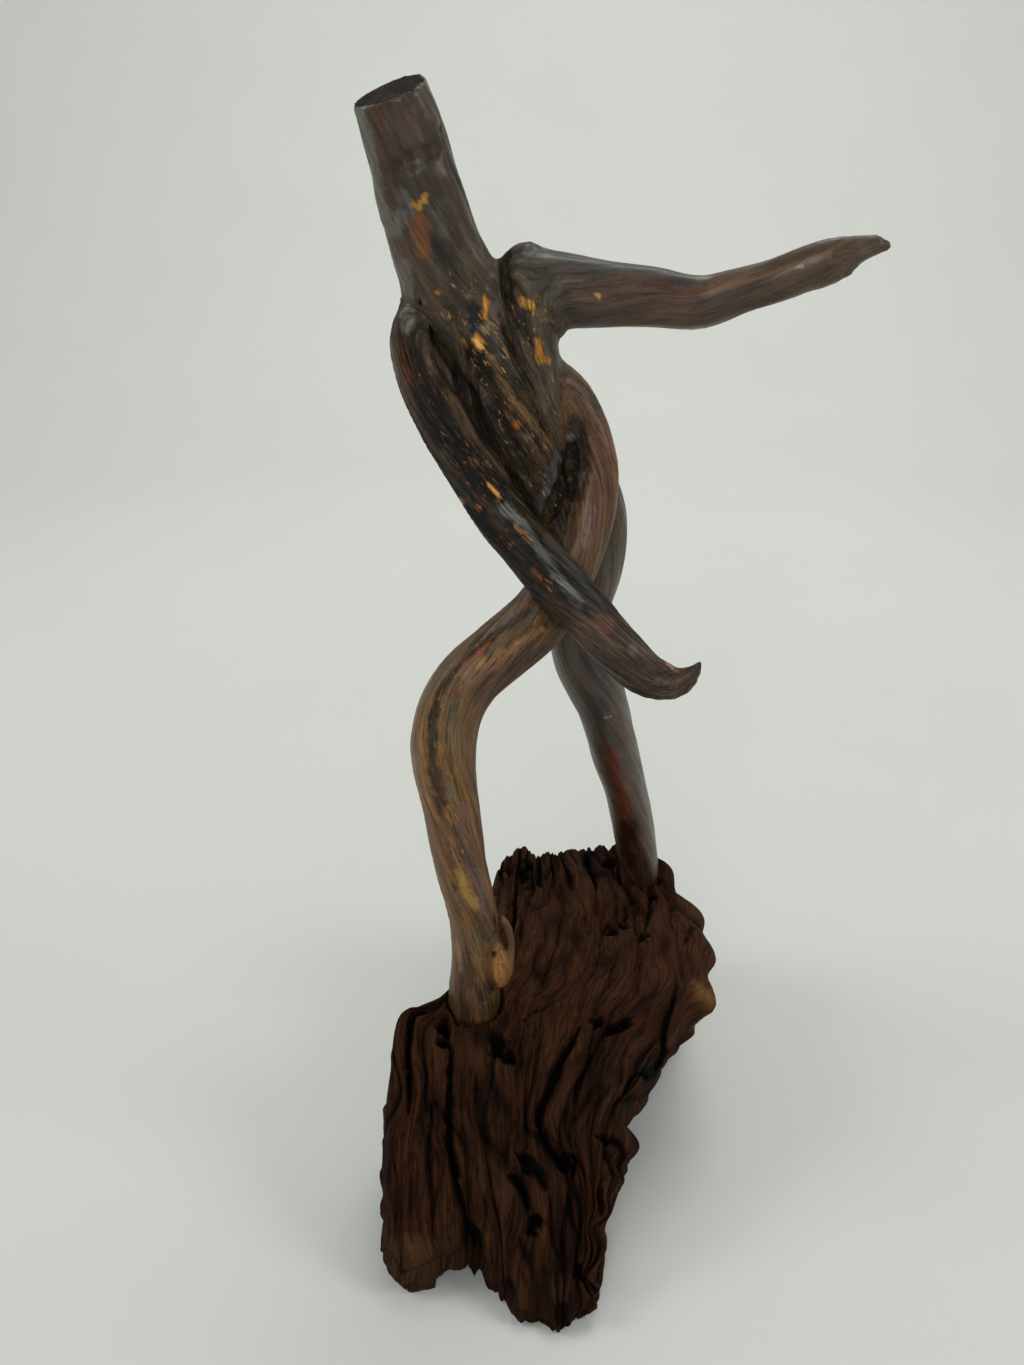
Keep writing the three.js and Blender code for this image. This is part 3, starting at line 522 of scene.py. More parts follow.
def grain_on(points):
    """Grain place, wood colour and bark of points, from the strands that they lie on."""
    rows = []
    for name, form in STRANDS.items():
        strand = Strand(**form, step=TONE_STEP)
        gap = np.empty(len(points), np.float32)
        nearest = np.empty(len(points), int)
        for some in np.array_split(np.arange(len(points)), BATCHES):
            away = points[some, None].astype(np.float32) - strand.line[None].astype(np.float32)
            size = np.einsum("ijk,ijk->ij", away, away)
            nearest[some] = size.argmin(axis=1)
            gap[some] = np.sqrt(size[np.arange(len(some)), nearest[some]])
        off = points - strand.line[nearest]
        across = np.einsum("ij,ij->i", off, strand.side[nearest])
        deep = np.einsum("ij,ij->i", off, strand.deep[nearest])
        run = strand.run[nearest] + np.einsum("ij,ij->i", off, strand.along[nearest])
        turn = GRAIN_TURN * run
        grain = np.stack([across * np.cos(turn) - deep * np.sin(turn),
                          across * np.sin(turn) + deep * np.cos(turn), run], axis=1)
        colours, bark = STRAND_COLOURS[name]
        share = run / strand.run[-1]
        tone = np.stack([np.interp(share, np.linspace(0, 1, len(colours)), channel)
                         for channel in linear(colours).T], axis=1)
        rough = np.interp(share, np.linspace(0, 1, len(bark)), bark)
        rows.append((gap - strand.radius[nearest], np.column_stack([grain, tone, rough])))
    gaps = np.array([gap for gap, _ in rows])
    weights = np.exp(-(gaps - gaps.min(axis=0)) / TONE_MELT)
    weights /= weights.sum(axis=0)
    mixed = sum(weight[:, None] * row for weight, (_, row) in zip(weights, rows))
    return mixed[:, :3], mixed[:, 3:6], mixed[:, 6]


def brush(points, places, radius, broken, grain):
    """How far each point is under a brush stroke that is pressed onto the surface."""
    places = np.array(places, float)
    if len(places) > 1:
        count = 1 + int(np.linalg.norm(np.diff(places, axis=0), axis=1).sum() / radius)
        at = np.linspace(0, len(places) - 1, 2 + count)
        places = smooth_line(places, at)
    reach = 3 * radius + 4
    near = np.flatnonzero(np.all((points > places.min(axis=0) - reach)
                                 & (points < places.max(axis=0) + reach), axis=1))
    cover = np.zeros(len(points))
    if not len(near):
        return cover
    gap = np.full(len(near), 1e9)
    for place in places:
        away = np.linalg.norm(points[near] - place, axis=1)
        touch = points[near[away.argmin()]]
        gap = np.minimum(gap, np.linalg.norm(points[near] - touch, axis=1))
    ragged = broken * layered_noise(grain[near] * (0.9, 0.9, 0.22), 11)
    cover[near] = smooth_steps(1.3, 0.7, gap / radius + ragged)
    return cover


# The finish reflects pale light, so the wood under it is warmer than it looks.
WARMTH = (1.04, 0.99, 0.84)
NECK_END = 470          # only the sawn end of the neck is higher
CREASE_REACHES = (2.0, 4.0)

grain, tone, bark = grain_on(root_points)
tone = tone * WARMTH
for colour, strength, radius, broken, places in MARKS_AND_PAINTED_LIGHT:
    cover = (strength * brush(root_points, places, radius, broken, grain))[:, None]
    tone = tone * (1 - cover) + linear(colour) * cover
specks = np.zeros(len(root_points))
for strength, radius, places in SPECKLED:
    specks = np.maximum(specks, strength * brush(root_points, places, radius, 0.4, grain))

# Painted shade: creases are darkened where the wood across them is near, as if little light
# reached in.
normals = mesh_normals(root_points, root_faces)
crease_shade = np.zeros(len(root_points))
for reach in CREASE_REACHES:
    cell = np.rint((root_points + reach * normals - GRID_LOW) / GRID_STEP).astype(int)
    cell = np.clip(cell, 0, GRID_SIZE - 1)
    crease_shade += 0.5 * np.clip(1 - root_field[tuple(cell.T)] / (0.8 * reach), 0, 1)

# Polished wood is almost smooth, and bark stands in fine ribs along the grain.
ribs = layered_noise(grain * (0.42, 0.42, 0.035), 3, 3)
lumps = layered_noise(grain * (0.11, 0.11, 0.03), 7, 2)
cut_face = ((np.abs(normals @ np.array(SAW_CUTS["neck"][1])) > 0.9)
            & (root_points[:, 2] > NECK_END))
swell = (0.14 + 0.5 * bark) * ribs + 0.45 * lumps
swell[cut_face] = 0
root_points = root_points + normals * swell[:, None]

# Painted shade in the creases and in the valleys between ribs, and painted light on the rib tops.
valley_shade = smooth_steps(0.05, 0.6, -ribs) * (0.25 + 0.6 * bark)
tone = tone * ((1 - 0.8 * smooth_steps(0.2, 0.85, crease_shade)) * (1 - 0.6 * valley_shade))[:, None]
tone = tone * (1 + 0.35 * bark * smooth_steps(0.1, 0.7, ribs))[:, None]
gloss = np.clip(1 - 0.9 * bark - 1.5 * crease_shade, 0, 1)
for strength, radius, places in POLISHED:
    gloss = np.maximum(gloss, strength * brush(root_points, places, radius, 0.3, grain))

# The sawn face is dark and as matt as the creases are.
tone[cut_face], gloss[cut_face], crease_shade[cut_face] = linear((20, 15, 8)), 0, 1
root_piece = mesh_piece(
    "twisted_root", root_points, root_faces.tolist(),
    {"grain": grain, "tone": np.column_stack([tone, gloss]),
     "wear_and_shade": np.column_stack([bark, specks, crease_shade])},
    "root")
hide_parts("root_figure")


class Link:
    """The output of a shader node, which adds and multiplies like a number."""

    def __init__(self, finish, socket):
        self.finish, self.socket = finish, socket

    def maths(self, operation, *values):
        return self.finish.node("ShaderNodeMath", {"operation": operation},
                                dict(enumerate(values)))

    def __add__(self, other):
        return self.maths("ADD", self, other)

    def __sub__(self, other):
        return self.maths("SUBTRACT", self, other)

    def __rsub__(self, other):
        return self.maths("SUBTRACT", other, self)

    def __mul__(self, other):
        return self.maths("MULTIPLY", self, other)

    def __abs__(self):
        return self.maths("ABSOLUTE", self)

    __radd__ = __add__
    __rmul__ = __mul__

    def between(self, low, high):
        """0 below low, 1 above high, and smooth between them."""
        return self.finish.node(
            "ShaderNodeMapRange", {"interpolation_type": "SMOOTHSTEP", "clamp": True},
            {"Value": self, "From Min": low, "From Max": high})


class Finish:
    """A material as it is built up, one node at a time."""

    def __init__(self, name):
        self.material = bpy.data.materials.new(name)
        self.material.use_nodes = True
        self.tree = self.material.node_tree
        self.tree.nodes.clear()

    def node(self, kind, settings=None, values=None, output=0):
        """Adds a node, sets it up, fills its sockets, and gives one of its outputs."""
        node = self.tree.nodes.new(kind)
        for name, value in (settings or {}).items():
            setattr(node, name, value)
        for name, value in (values or {}).items():
            if isinstance(value, Link):
                self.tree.links.new(value.socket, node.inputs[name])
            else:
                node.inputs[name].default_value = value
        return Link(self, node.outputs[output] if node.outputs else None)

    def split(self, vector):
        """The three parts of a vector."""
        parts = self.node("ShaderNodeSeparateXYZ", {}, {0: vector})
        return [Link(self, socket) for socket in parts.socket.node.outputs]

    def carried(self, name, output=1):
        """What the mesh carries: a colour at output 0, a vector at 1 and gloss at 3."""
        return self.node("ShaderNodeAttribute", {"attribute_name": name}, output=output)

    def mix(self, share, one, other):
        """One colour turning into another by a share from 0 to 1."""
        return self.node("ShaderNodeMix", {"data_type": "RGBA"},
                         {0: share, 6: one, 7: other}, output=2)

    def noise(self, place, stretch, detail=3.0, rough=0.6):
        """Noise over a place in millimetres, stretched by swings a millimetre."""
        scaled = self.node("ShaderNodeVectorMath", {"operation": "MULTIPLY"},
                           {0: place, 1: stretch})
        return self.node("ShaderNodeTexNoise", {},
                         {"Vector": scaled, "Scale": 1.0, "Detail": detail, "Roughness": rough})

    def wash(self, colour, amount):
        """A colour made lighter or darker by a number that varies over the surface."""
        return self.node("ShaderNodeVectorMath", {"operation": "SCALE"},
                         {0: colour, "Scale": amount})

    def finish(self, shader):
        self.node("ShaderNodeOutputMaterial", {}, {"Surface": shader})
        return self.material


def paint(colour):
    """A screen colour, ready for the socket of a shader."""
    return (*linear(colour).tolist(), 1.0)


wood = Finish("polished_root")
grain_place = wood.carried("grain")
wood_tone, polish = wood.carried("tone", 0), wood.carried("tone", 3)
bark_share, speck_share, crease_share = wood.split(wood.carried("wear_and_shade"))

streaks = wood.noise(grain_place, (0.32, 0.32, 0.022), 4).between(0.3, 0.7)
fibres = wood.noise(grain_place, (0.95, 0.95, 0.07), 4, 0.72).between(0.3, 0.7)
pores = wood.noise(grain_place, (3.2, 3.2, 0.3), 2).between(0.3, 0.7)
clouds = wood.noise(grain_place, (0.14, 0.14, 0.06), 4, 0.65).between(0.3, 0.7)

colour = wood.mix(streaks.between(0.5, 1) * 0.14, wood_tone, paint((126, 80, 40)))
colour = wood.mix(clouds.between(0.6, 1) * 0.3, colour, paint((84, 74, 66)))
shade = (0.5 + 0.2 * clouds + (0.15 + 0.5 * bark_share) * streaks
         + (0.3 + 0.8 * bark_share) * (fibres - 0.4) + 0.25 * (pores - 0.4))
colour = wood.wash(colour, shade)
pits = (1 - fibres.between(0.08, 0.36)) * (0.15 + 0.8 * bark_share)
colour = wood.mix(pits, colour, paint((9, 7, 5)))
crests = fibres.between(0.75, 0.97) * (0.1 + 0.22 * bark_share)
colour = wood.mix(crests, colour, paint((134, 100, 60)))
clusters = wood.noise(grain_place, (0.2, 0.2, 0.08), 2)
flakes = wood.noise(grain_place, (0.85, 0.85, 0.24), 4, 0.65)
bare = (flakes + 0.35 * (clusters - 0.5)).between(0.63, 0.67) * speck_share
colour = wood.mix(bare, colour, paint((184, 128, 58)))

height = fibres * (0.25 + bark_share) + 0.2 * pores + 0.3 * streaks
relief = wood.node("ShaderNodeBump", {}, {"Strength": 0.9, "Distance": 0.0005, "Height": height})
roughness = 0.42 + 0.2 * bark_share + 0.12 * (fibres - 0.4) + 0.5 * crease_share
coat = polish * (0.2 + 0.4 * streaks)
root_piece.data.materials.append(wood.finish(wood.node(
    "ShaderNodeBsdfPrincipled", {},
    {"Base Color": colour, "Roughness": roughness, "Normal": relief, "Coat Weight": coat,
     "Specular IOR Level": 0.2, "Coat Roughness": 0.3, "Coat IOR": 1.5})))

# The base. A block from the heart of an old stump, grey-brown and unfinished: ridges of
# wood run from the knuckled back rim down the front slope to the toe, split by long
# cracks and rotted pits, on a sawn underside. The feet of the root stand in two holes.
# Lines of grain seen from above, from the back rim to the front. Each is numbered by the
# ridge that it runs along.
LAST_RIDGE = 20
GRAIN_LINES = {
    0: [(-48, 100), (-56, 62), (-60, 26), (-72, -7), (-93, -21), (-98, -42), (-99, -68),
        (-97, -95)],
    2: [(-40, 106), (-42, 62), (-48, 22), (-64, -6), (-86, -26), (-88, -52), (-90, -75),
        (-87, -101)],
    5: [(-28, 108), (-30, 62), (-40, 22), (-60, -12), (-70, -34), (-68, -62), (-63, -80),
        (-60, -96)],
    9: [(-13, 107), (-12, 62), (-18, 20), (-32, -16), (-36, -45), (-38, -70), (-33, -88),
        (-36, -113)],
    12: [(3, 112), (8, 62), (4, 20), (-8, -16), (-20, -46), (-26, -62), (-14, -79),
         (-20, -119)],
    15: [(18, 116), (26, 62), (26, 22), (10, -16), (-5, -42), (-13, -62), (-7, -80),
         (-9, -115)],
    18: [(36, 107), (46, 62), (47, 22), (37, -18), (19, -42), (7, -60), (-2, -82), (-6, -108)],
    20: [(50, 95), (64, 66), (64, 24), (58, -6), (45, -18), (29, -38), (13, -54), (14, -66),
         (4, -82), (-3, -102)],
}
# The height of the top along y, its swellings and dips (x, y, radius, rise), the hollows
# under its right side (x, y, radius, depth), and the arch at the front.
CROWN = [(-122, 8), (-110, 14), (-98, 24), (-88, 34), (-75, 48), (-60, 62), (-45, 73),
         (-30, 81), (-15, 86), (0, 88), (40, 90), (80, 92), (118, 97)]
SWELLINGS = [(-58, -14, 20, 4), (-62, 40, 14, 3), (-26, 40, 26, 2), (56, 78, 14, -4),
             (28, 88, 13, -4), (-88, -94, 12, -3), (-14, -114, 9, 5), (-93, -26, 10, 12)]
UNDERCUTS = [(60, 6, 40, 34), (36, -34, 24, 26), (12, -74, 16, 9)]
ARCH = dict(x=-66, width=17, height=11, length=40)

# Cracks seen from above: depth, half width, and the line that each one follows.
CRACKS = [
    (9, 1.6, [(-82, -18), (-87, -25), (-89, -36), (-88, -47), (-88, -58)]),
    (11, 1.7, [(-71, -28), (-69, -35), (-69, -50), (-69, -66), (-67, -73), (-64, -82),
               (-61, -90), (-60, -97)]),
    (5, 1.2, [(-77, -56), (-77, -63), (-78, -71), (-76, -83), (-75, -98)]),
    (10, 1.9, [(-8, -26), (-10, -30), (-17, -40), (-24, -52), (-28, -61), (-26, -66),
               (-20, -72), (-14, -76)]),
    (5, 1.3, [(-2, -35), (-4, -39), (-10, -50), (-12, -57)]),
    (9, 1.3, [(43, 2), (41, -4), (38, -14), (33, -25), (30, -36), (25, -41), (15, -47),
              (11, -54)]),
    (7, 2.2, [(-39, -70), (-30, -76), (-24, -82)]),
    (8, 2.2, [(-42, -78), (-36, -81), (-32, -86)]),
    (4, 1.1, [(-23, -83), (-23, -89), (-22, -96), (-17, -104)]),
    (4, 1.1, [(-15, -82), (-13, -90), (-9, -98)]),
    (10, 2.2, [(-60, -90), (-56, -94), (-54, -98), (-51, -103)]),
    (3, 1, [(-36, -31), (-35, -42)]),
    (5, 1.4, [(-3, -66), (2, -67), (7, -68), (9, -71), (8, -76)]),
    (6, 1.6, [(-1, -80), (-2, -89)]),
    (4, 1.8, [(-37, -94), (-32, -103), (-31, -114)]),
    (10, 1.2, [(-37, 78), (-38, 68), (-39, 43), (-41, 22), (-43, 12)]),
    (3, 1.2, [(28, 26), (25, 10), (23, 0), (19, -10)]),
    (2.4, 0.9, [(-38, -24), (-32, -20), (-24, -16), (-8, -8)]),
    (5, 1.6, [(37, 74), (37, 66), (34, 50), (30, 34)]),
    (4, 1.6, [(23, 60), (22, 52), (20, 43)]),
    (4, 1.2, [(56, 40), (53, 34), (49, 26)]),
    (3, 1, [(-46, -56), (-45, -66)]), (3, 1, [(-57, -44), (-57, -56)]),
    (3, 1, [(-52, -82), (-52, -94)]), (3, 1, [(-47, -96), (-46, -106)]),
    (2.6, 0.9, [(-3, 62), (0, 50), (-2, 38)]),
]
# Gaps between the knuckles of the back rim: ridge line, how far in they run, depth.
RIM_GAPS = [(1, 76, 6), (3, 72, 8), (4, 86, 6), (6, 74, 10), (8, 80, 11), (10, 70, 8),
            (11, 92, 6), (12, 74, 9), (14, 80, 7), (16, 70, 8), (18, 84, 6)]
# Rotted pits: x, y, radius across and along, depth.
PITS = [
    (-73, -29, 3.6, 6, 12), (-48, -34, 4.6, 5, 8), (-42, -38, 4, 3, 6), (1, -23, 4, 3, 8),
    (8, -25, 5, 3, 9), (15, -23, 5, 3, 8), (12, 38, 4, 5, 9), (20, 42, 3.5, 4, 7),
    (30, 32, 3, 5, 8), (-35, 85, 4.5, 5, 7), (-30, 93, 4, 4, 6), (18, 96, 5, 5, 8),
    (-29, -91, 5, 3, 7), (-14, -75, 5, 3.6, 8), (-33, -75, 4, 3, 6), (-41, -109, 4, 4, 4),
    (-19, -117, 4, 3, 5), (-10, -106, 4, 4, 5), (38, 66, 3, 4, 6),
]
# Rounded knobs and notches of the edge: x, y, z, reach, and how far they stand out.
KNOBS = [
    (50, 94, 90, 8, 4), (60, 80, 84, 7, -3), (64, 62, 82, 9, 2), (66, 46, 80, 6, -2.5),
    (63, 28, 82, 9, 3.5), (61, 14, 82, 6, -2.5), (60, -2, 74, 8, 4), (50, -14, 84, 6, -3),
    (36, -29, 76, 8, 1.5), (28, -40, 70, 5, -2), (20, -48, 66, 6, 1.5), (12, -55, 60, 6, -4),
    (14, -64, 52, 7, 4.5), (8, -73, 48, 4, -2.5), (6, -78, 44, 5, 2.5), (1, -87, 36, 5, 3),
    (-2, -92, 31, 4, -3), (0, -98, 25, 6, 4), (-5, -106, 19, 4, -3.5), (-6, -113, 14, 7, 4),
    (-14, -117, 10, 4, -2), (-21, -120, 9, 7, 2.5), (-30, -116, 10, 4, -2.5), (-41, -113, 9, 8, 3),
    (-47, -107, 8, 4, -2.5), (-52, -102, 8, 6, 2.5), (-95, -95, 14, 8, 2), (-96, -80, 30, 6, -2),
    (-96, -60, 40, 9, 1.5), (-95, -34, 60, 7, -2),
]
# Fine grooves between the wavy fibres: swings a millimetre across and along, seed, depth,
# width, how much of them is left on the flat top, and how far the wood between stands up.
FINE_GROOVES = [
    (0.09, 0.022, 25, 2.6, 0.12, 0.45, 1.6), (0.22, 0.04, 29, 1.4, 0.14, 0.5, 0),
    (0.5, 0.05, 27, 0.7, 0.18, 0.25, 0),
]
FOOT_PLACES = ((-57.5, -14), (32.5, 86))
COLLAR_RADIUS, COLLAR_WIDTH, COLLAR_RISE = 13, 3.5, 2.2     # wood swollen round a foot
FOOT_GAP = 0.5          # air between a foot and the edge of its hole
FOOT_TOP = 112          # height below which a leg can be inside its hole
HOLE_FLOOR = 69.6       # height of the bottom of the foot holes
ALONG, COLUMNS = 390, 9 * LAST_RIDGE
LINE_STEPS = 800        # steps along each grain line
SKIRT_ROWS = 24
HEADING_SPAN = 60       # points of the rim, to each side, that give its heading
RIM_STATIONS = 240      # stations round the rim that the waves of the sides are counted in


def scatter(n):
    """A repeatable number from -1 to 1 for each ridge."""
    wave = np.sin(np.asarray(n) * 12.9898 + 4.1) * 43758.5453
    return 2 * (wave - np.floor(wave)) - 1


def wander(line, run):
    """How far a groove wanders to the side, in ridges. The two edges stay put."""
    sway = (0.26 * np.sin(22 * run + 5 * scatter(line))
            + 0.14 * np.sin(47 * run + 5 * scatter(line + 7)))
    return np.where((line <= 0) | (line >= LAST_RIDGE), 0, sway)


def bell(x, y, place_x, place_y, wide, long):
    """A bump that is 1 at its place and fades out over its width and length."""
    return np.exp(-((x - place_x) / wide)**2 - ((y - place_y) / long)**2)


# Each point of the top lies some share of the way between two grain lines, and its column
# wanders from side to side as the grain does.
line_places = np.array(list(GRAIN_LINES), float)
line_runs = np.linspace(0, 1, LINE_STEPS + 1)
line_points = []
for stations in GRAIN_LINES.values():
    dense = smooth_line(stations, np.linspace(0, len(stations) - 1, LINE_STEPS + 1))
    length = np.append(0, np.cumsum(np.linalg.norm(np.diff(dense, axis=0), axis=1)))
    counts = np.arange(LINE_STEPS + 1.0)
    even = np.interp(line_runs * length[-1], length, counts)
    line_points.append(np.stack([np.interp(even, counts, dense[:, k]) for k in range(2)],
                                axis=1))
line_points = np.array(line_points)

run, ridge = np.meshgrid(np.linspace(0, 1, ALONG + 1),
                         np.linspace(0, LAST_RIDGE, COLUMNS + 1), indexing="ij")
run, ridge = run.ravel(), ridge.ravel()
line = np.minimum(np.floor(ridge), LAST_RIDGE - 1)
part = ridge - line
across = ridge + (1 - part) * wander(line, run) + part * wander(line + 1, run)
broken = 0.014 * layered_noise(np.stack([ridge * 0.33, 0 * ridge, 0 * ridge], axis=1), 19, 2)
along = run + (broken - 0.005) * (2 * run - 1)
along = np.clip(along, 0, 1)
between = np.clip(np.searchsorted(line_places, across, side="right") - 1, 0,
                  len(line_places) - 2)
share = ((across - line_places[between])
         / (line_places[between + 1] - line_places[between]))[:, None]
spot = along * LINE_STEPS
low_spot = np.minimum(spot.astype(int), LINE_STEPS - 1)
step = (spot - low_spot)[:, None]
left, right = ((1 - step) * line_points[side, low_spot] + step * line_points[side, low_spot + 1]
               for side in (between, between + 1))
x, y = ((1 - share) * left + share * right).T

# The top follows a crown from back to front, with swellings and a rounded bundle of fibre
# between each two grain lines, and it is worn down along its rim.
crown_y, crown_z = np.array(CROWN, float).T
crown = np.interp(y, crown_y, crown_z)
slope = (np.interp(y + 3, crown_y, crown_z) - np.interp(y - 3, crown_y, crown_z)) / 6
height = crown + sum(rise * bell(x, y, px, py, radius, radius)
                     for px, py, radius, rise in SWELLINGS)
bundle_low, bundle_high = line_places[between], line_places[between + 1]
bundle = 1 - (2 * (ridge - bundle_low) / (bundle_high - bundle_low) - 1)**2
height += 3.6 * (np.sqrt(np.clip(bundle, 0, 1)) - 0.3) * np.minimum(1, height / 40)
end_gap = np.minimum(run, 1 - run)
height -= np.minimum(4, 0.3 * height) * np.maximum(0, 1 - end_gap / 0.02)**2
edge = np.minimum(ridge, LAST_RIDGE - ridge)
height -= np.minimum(7, 0.45 * height) * np.maximum(0, 1 - edge / 1.6)**2

# Furrows, knuckles, rim gaps, cracks, pits and fine grooves sink into it, deepest where it
# is steep.
steep = np.maximum(smooth_steps(20, 50, -y), smooth_steps(56, 84, y))
wood_place = np.stack([ridge * 5.2, np.zeros_like(ridge), run * 250], axis=1)
groove_place = ridge + 0.6 * value_noise(wood_place * (0.085, 1, 0.016), 17)
nearest_line = np.rint(groove_place)
line_gap = np.abs(groove_place - nearest_line)
furrow = 1 - np.sqrt(np.clip(1 - (1 - 2 * line_gap)**2, 0, 1))
deepness = (0.5 + 0.5 * scatter(nearest_line + 31))**1.5 * (0.25 + 0.75 * steep)
patchy = 0.7 + 0.6 * value_noise(np.stack([nearest_line * 3, 0 * run, 8 * run], axis=1), 40)
at_end = np.maximum(smooth_steps(82, 98, y), smooth_steps(88, 104, -y))
sink = 3.6 * deepness * patchy * furrow * (1 - 0.8 * at_end)
knuckle_place = 0.6 * ridge + 0.3 * value_noise(wood_place * (0.085, 1, 0.03), 18)
knuckle = 1 - np.abs(2 * np.abs(knuckle_place - np.rint(knuckle_place)))
knuckle = 1 - np.sqrt(np.clip(1 - knuckle**2, 0, 1))
sink += at_end * (3.4 * knuckle + 1.5 * value_noise(wood_place * (0.09, 1, 0), 35))
for k, inner, depth in RIM_GAPS:
    opened = (smooth_steps(inner - 6, inner + 16, y)
              * (0.15 + 0.85 * smooth_steps(0.005, 0.05, run)))
    sink = np.maximum(sink, depth * opened * np.exp(-((groove_place - k) / 0.17)**2))
ragged = 0.4 * layered_noise(wood_place * (0.5, 1, 0.3), 21)
for depth, half, places in CRACKS:
    places = smooth_line(places, np.linspace(0, len(places) - 1, 12 * len(places)))
    gap = np.full(len(x), 1e9)
    share = np.zeros(len(x))
    for k, (cx, cy) in enumerate(places):
        away = np.hypot(x - cx, y - cy)
        closer = away < gap
        gap[closer], share[closer] = away[closer], k / (len(places) - 1)
    taper = np.sqrt(np.clip(4 * share * (1 - share), 0, 1)) * 0.8 + 0.2
    wide = half * taper * (1 + ragged)
    sink = np.maximum(sink, depth * taper * np.exp(-(gap / (0.8 * wide))**2))
for px, py, wide, long, depth in PITS:
    warp = 1 + 0.7 * layered_noise(wood_place * (0.35, 1, 0.35), 23, 3)
    pit = smooth_steps(0.25, 0.75, bell(x, y, px, py, wide, long) * warp)
    sink = np.maximum(sink, depth * pit)
sway = wood_place + 4 * np.stack([value_noise(wood_place * (0.05, 1, 0.04), 33),
                                  0 * run, 0 * run], axis=1)
for wide, long, seed, depth, width, left_on_top, stands in FINE_GROOVES:
    away = np.abs(layered_noise(sway * (wide, 1, long), seed, 2))
    sink += (depth * np.exp(-(away / width)**2) * (left_on_top + (1 - left_on_top) * steep)
             - stands * away)
swirl = bell(x, y, -8, 20, 36, 34)
sink += 0.45 * swirl * np.sin(0.6 * x + 5 * np.sin(0.045 * y + 0.02 * x))
# How deep each point is sunk gives it painted shade in cracks and grooves and painted light on the
# crests between, less on the flat top.
depth_shade = sink - 0.5 * (1 - steep)
sink = np.minimum(sink, 0.7 * height)
lean = unit(np.stack([np.zeros_like(slope), -slope, np.ones_like(slope)], axis=1))
top_points = np.stack([x, y, height], axis=1) - lean * sink[:, None]
for foot_x, foot_y in FOOT_PLACES:
    away = np.hypot(x - foot_x, y - foot_y) - COLLAR_RADIUS
    top_points[:, 2] += COLLAR_RISE * np.exp(-(away / COLLAR_WIDTH)**2)

# The holes take the legs with a little air round them.
in_hole = np.zeros(len(x), bool)
for name in ("front_leg", "back_leg"):
    leg = Strand(**STRANDS[name], step=TONE_STEP)
    for k in np.flatnonzero(leg.line[:, 2] < FOOT_TOP):
        away = np.hypot(top_points[:, 0] - leg.line[k, 0], top_points[:, 1] - leg.line[k, 1])
        in_hole |= (away < leg.radius[k] * 1.05 + FOOT_GAP) & (
            leg.line[k, 2] < top_points[:, 2] + 4)
top_points[in_hole, 2] = HOLE_FLOOR

# The sides hang from the rim to the sawn underside, undercut on the right and with the
# small arch at the front, and the knobs and notches push the whole edge in and out.
columns = COLUMNS + 1
quads = [(i * columns + j, (i + 1) * columns + j, (i + 1) * columns + j + 1,
          i * columns + j + 1) for i in range(ALONG) for j in range(COLUMNS)]
rim = np.concatenate([np.arange(ALONG) * columns, ALONG * columns + np.arange(COLUMNS),
                      np.arange(ALONG, 0, -1) * columns + COLUMNS,
                      np.arange(COLUMNS, 0, -1)])
rim_points = top_points[rim]
heading = (np.roll(rim_points, -HEADING_SPAN, axis=0)
           - np.roll(rim_points, HEADING_SPAN, axis=0))
heading[:, 2] = 0
heading = unit(heading)
outward = np.stack([heading[:, 1], -heading[:, 0], np.zeros(len(rim))], axis=1)
around = np.append(0, np.cumsum(np.linalg.norm(np.diff(rim_points[:, :2], axis=0), axis=1)))
tuck = sum(far * bell(rim_points[:, 0], rim_points[:, 1], px, py, radius, radius)
           for px, py, radius, far in UNDERCUTS)
is_end = (np.abs(heading[:, 0]) > 0.75)[:, None]
rows, row_shades, row_places = [top_points], [depth_shade], [wood_place]
station = np.arange(len(rim)) * RIM_STATIONS / len(rim)
for row in range(1, SKIRT_ROWS + 1):
    fall = row / SKIRT_ROWS
    wave = np.sin(10.4 * fall + 0.11 * station) + np.sin(6.8 * fall - 0.29 * station)
    bulge = (0.8 + 0.6 * wave) * math.sin(math.pi * fall) - fall
    level = rim_points[:, 2] * (1 - fall)
    place = np.where(is_end, np.stack([around * 0.14, 0 * around, level * 0.06], axis=1),
                     np.stack([around * 0.05, 0 * around, level * 0.16], axis=1))
    rough = 2.2 * np.abs(layered_noise(place, 31, 2)) - 0.7
    bulge = bulge + 1.6 * rough * math.sin(math.pi * min(1, fall + 0.06))**0.5
    below = rim_points + outward * bulge[:, None]
    below[:, 0] -= tuck * fall**0.85
    below[:, 2] = level
    ceiling = ARCH["height"] * np.sqrt(np.clip(
        1 - ((below[:, 0] - ARCH["x"]) / (0.5 * ARCH["width"]))**2, 0, 1))
    open_here = (level < ceiling) & (below[:, 1] < -80)
    below[open_here, 1] += ARCH["length"] * (1 - level / np.maximum(ceiling, 0.1))[open_here]
    rows.append(below)
    # Painted shade: where a side falls back it is darkened.
    row_shades.append(2.2 * np.clip(-rough, 0, 1))
    row_places.append(place * (9, 1, 9))
base_points = np.vstack(rows)
middle = line_points[:, ::100].mean(axis=0)
for px, py, pz, reach, push in KNOBS:
    away = np.linalg.norm(base_points - (px, py, pz), axis=1)
    out = unit(np.array((px, py)) - middle[np.hypot(*(middle - (px, py)).T).argmin()])
    base_points[:, :2] += push * np.exp(-(away / reach)**2)[:, None] * out
first = len(top_points)
above = rim
for row in range(SKIRT_ROWS):
    below = first + row * len(rim) + np.arange(len(rim))
    quads += np.stack([above, below, np.roll(below, -1), np.roll(above, -1)],
                      axis=1).tolist()
    above = below
depth_shade = np.concatenate(row_shades)
place = np.vstack(row_places)
faces = quads + [above[::-1].tolist()]

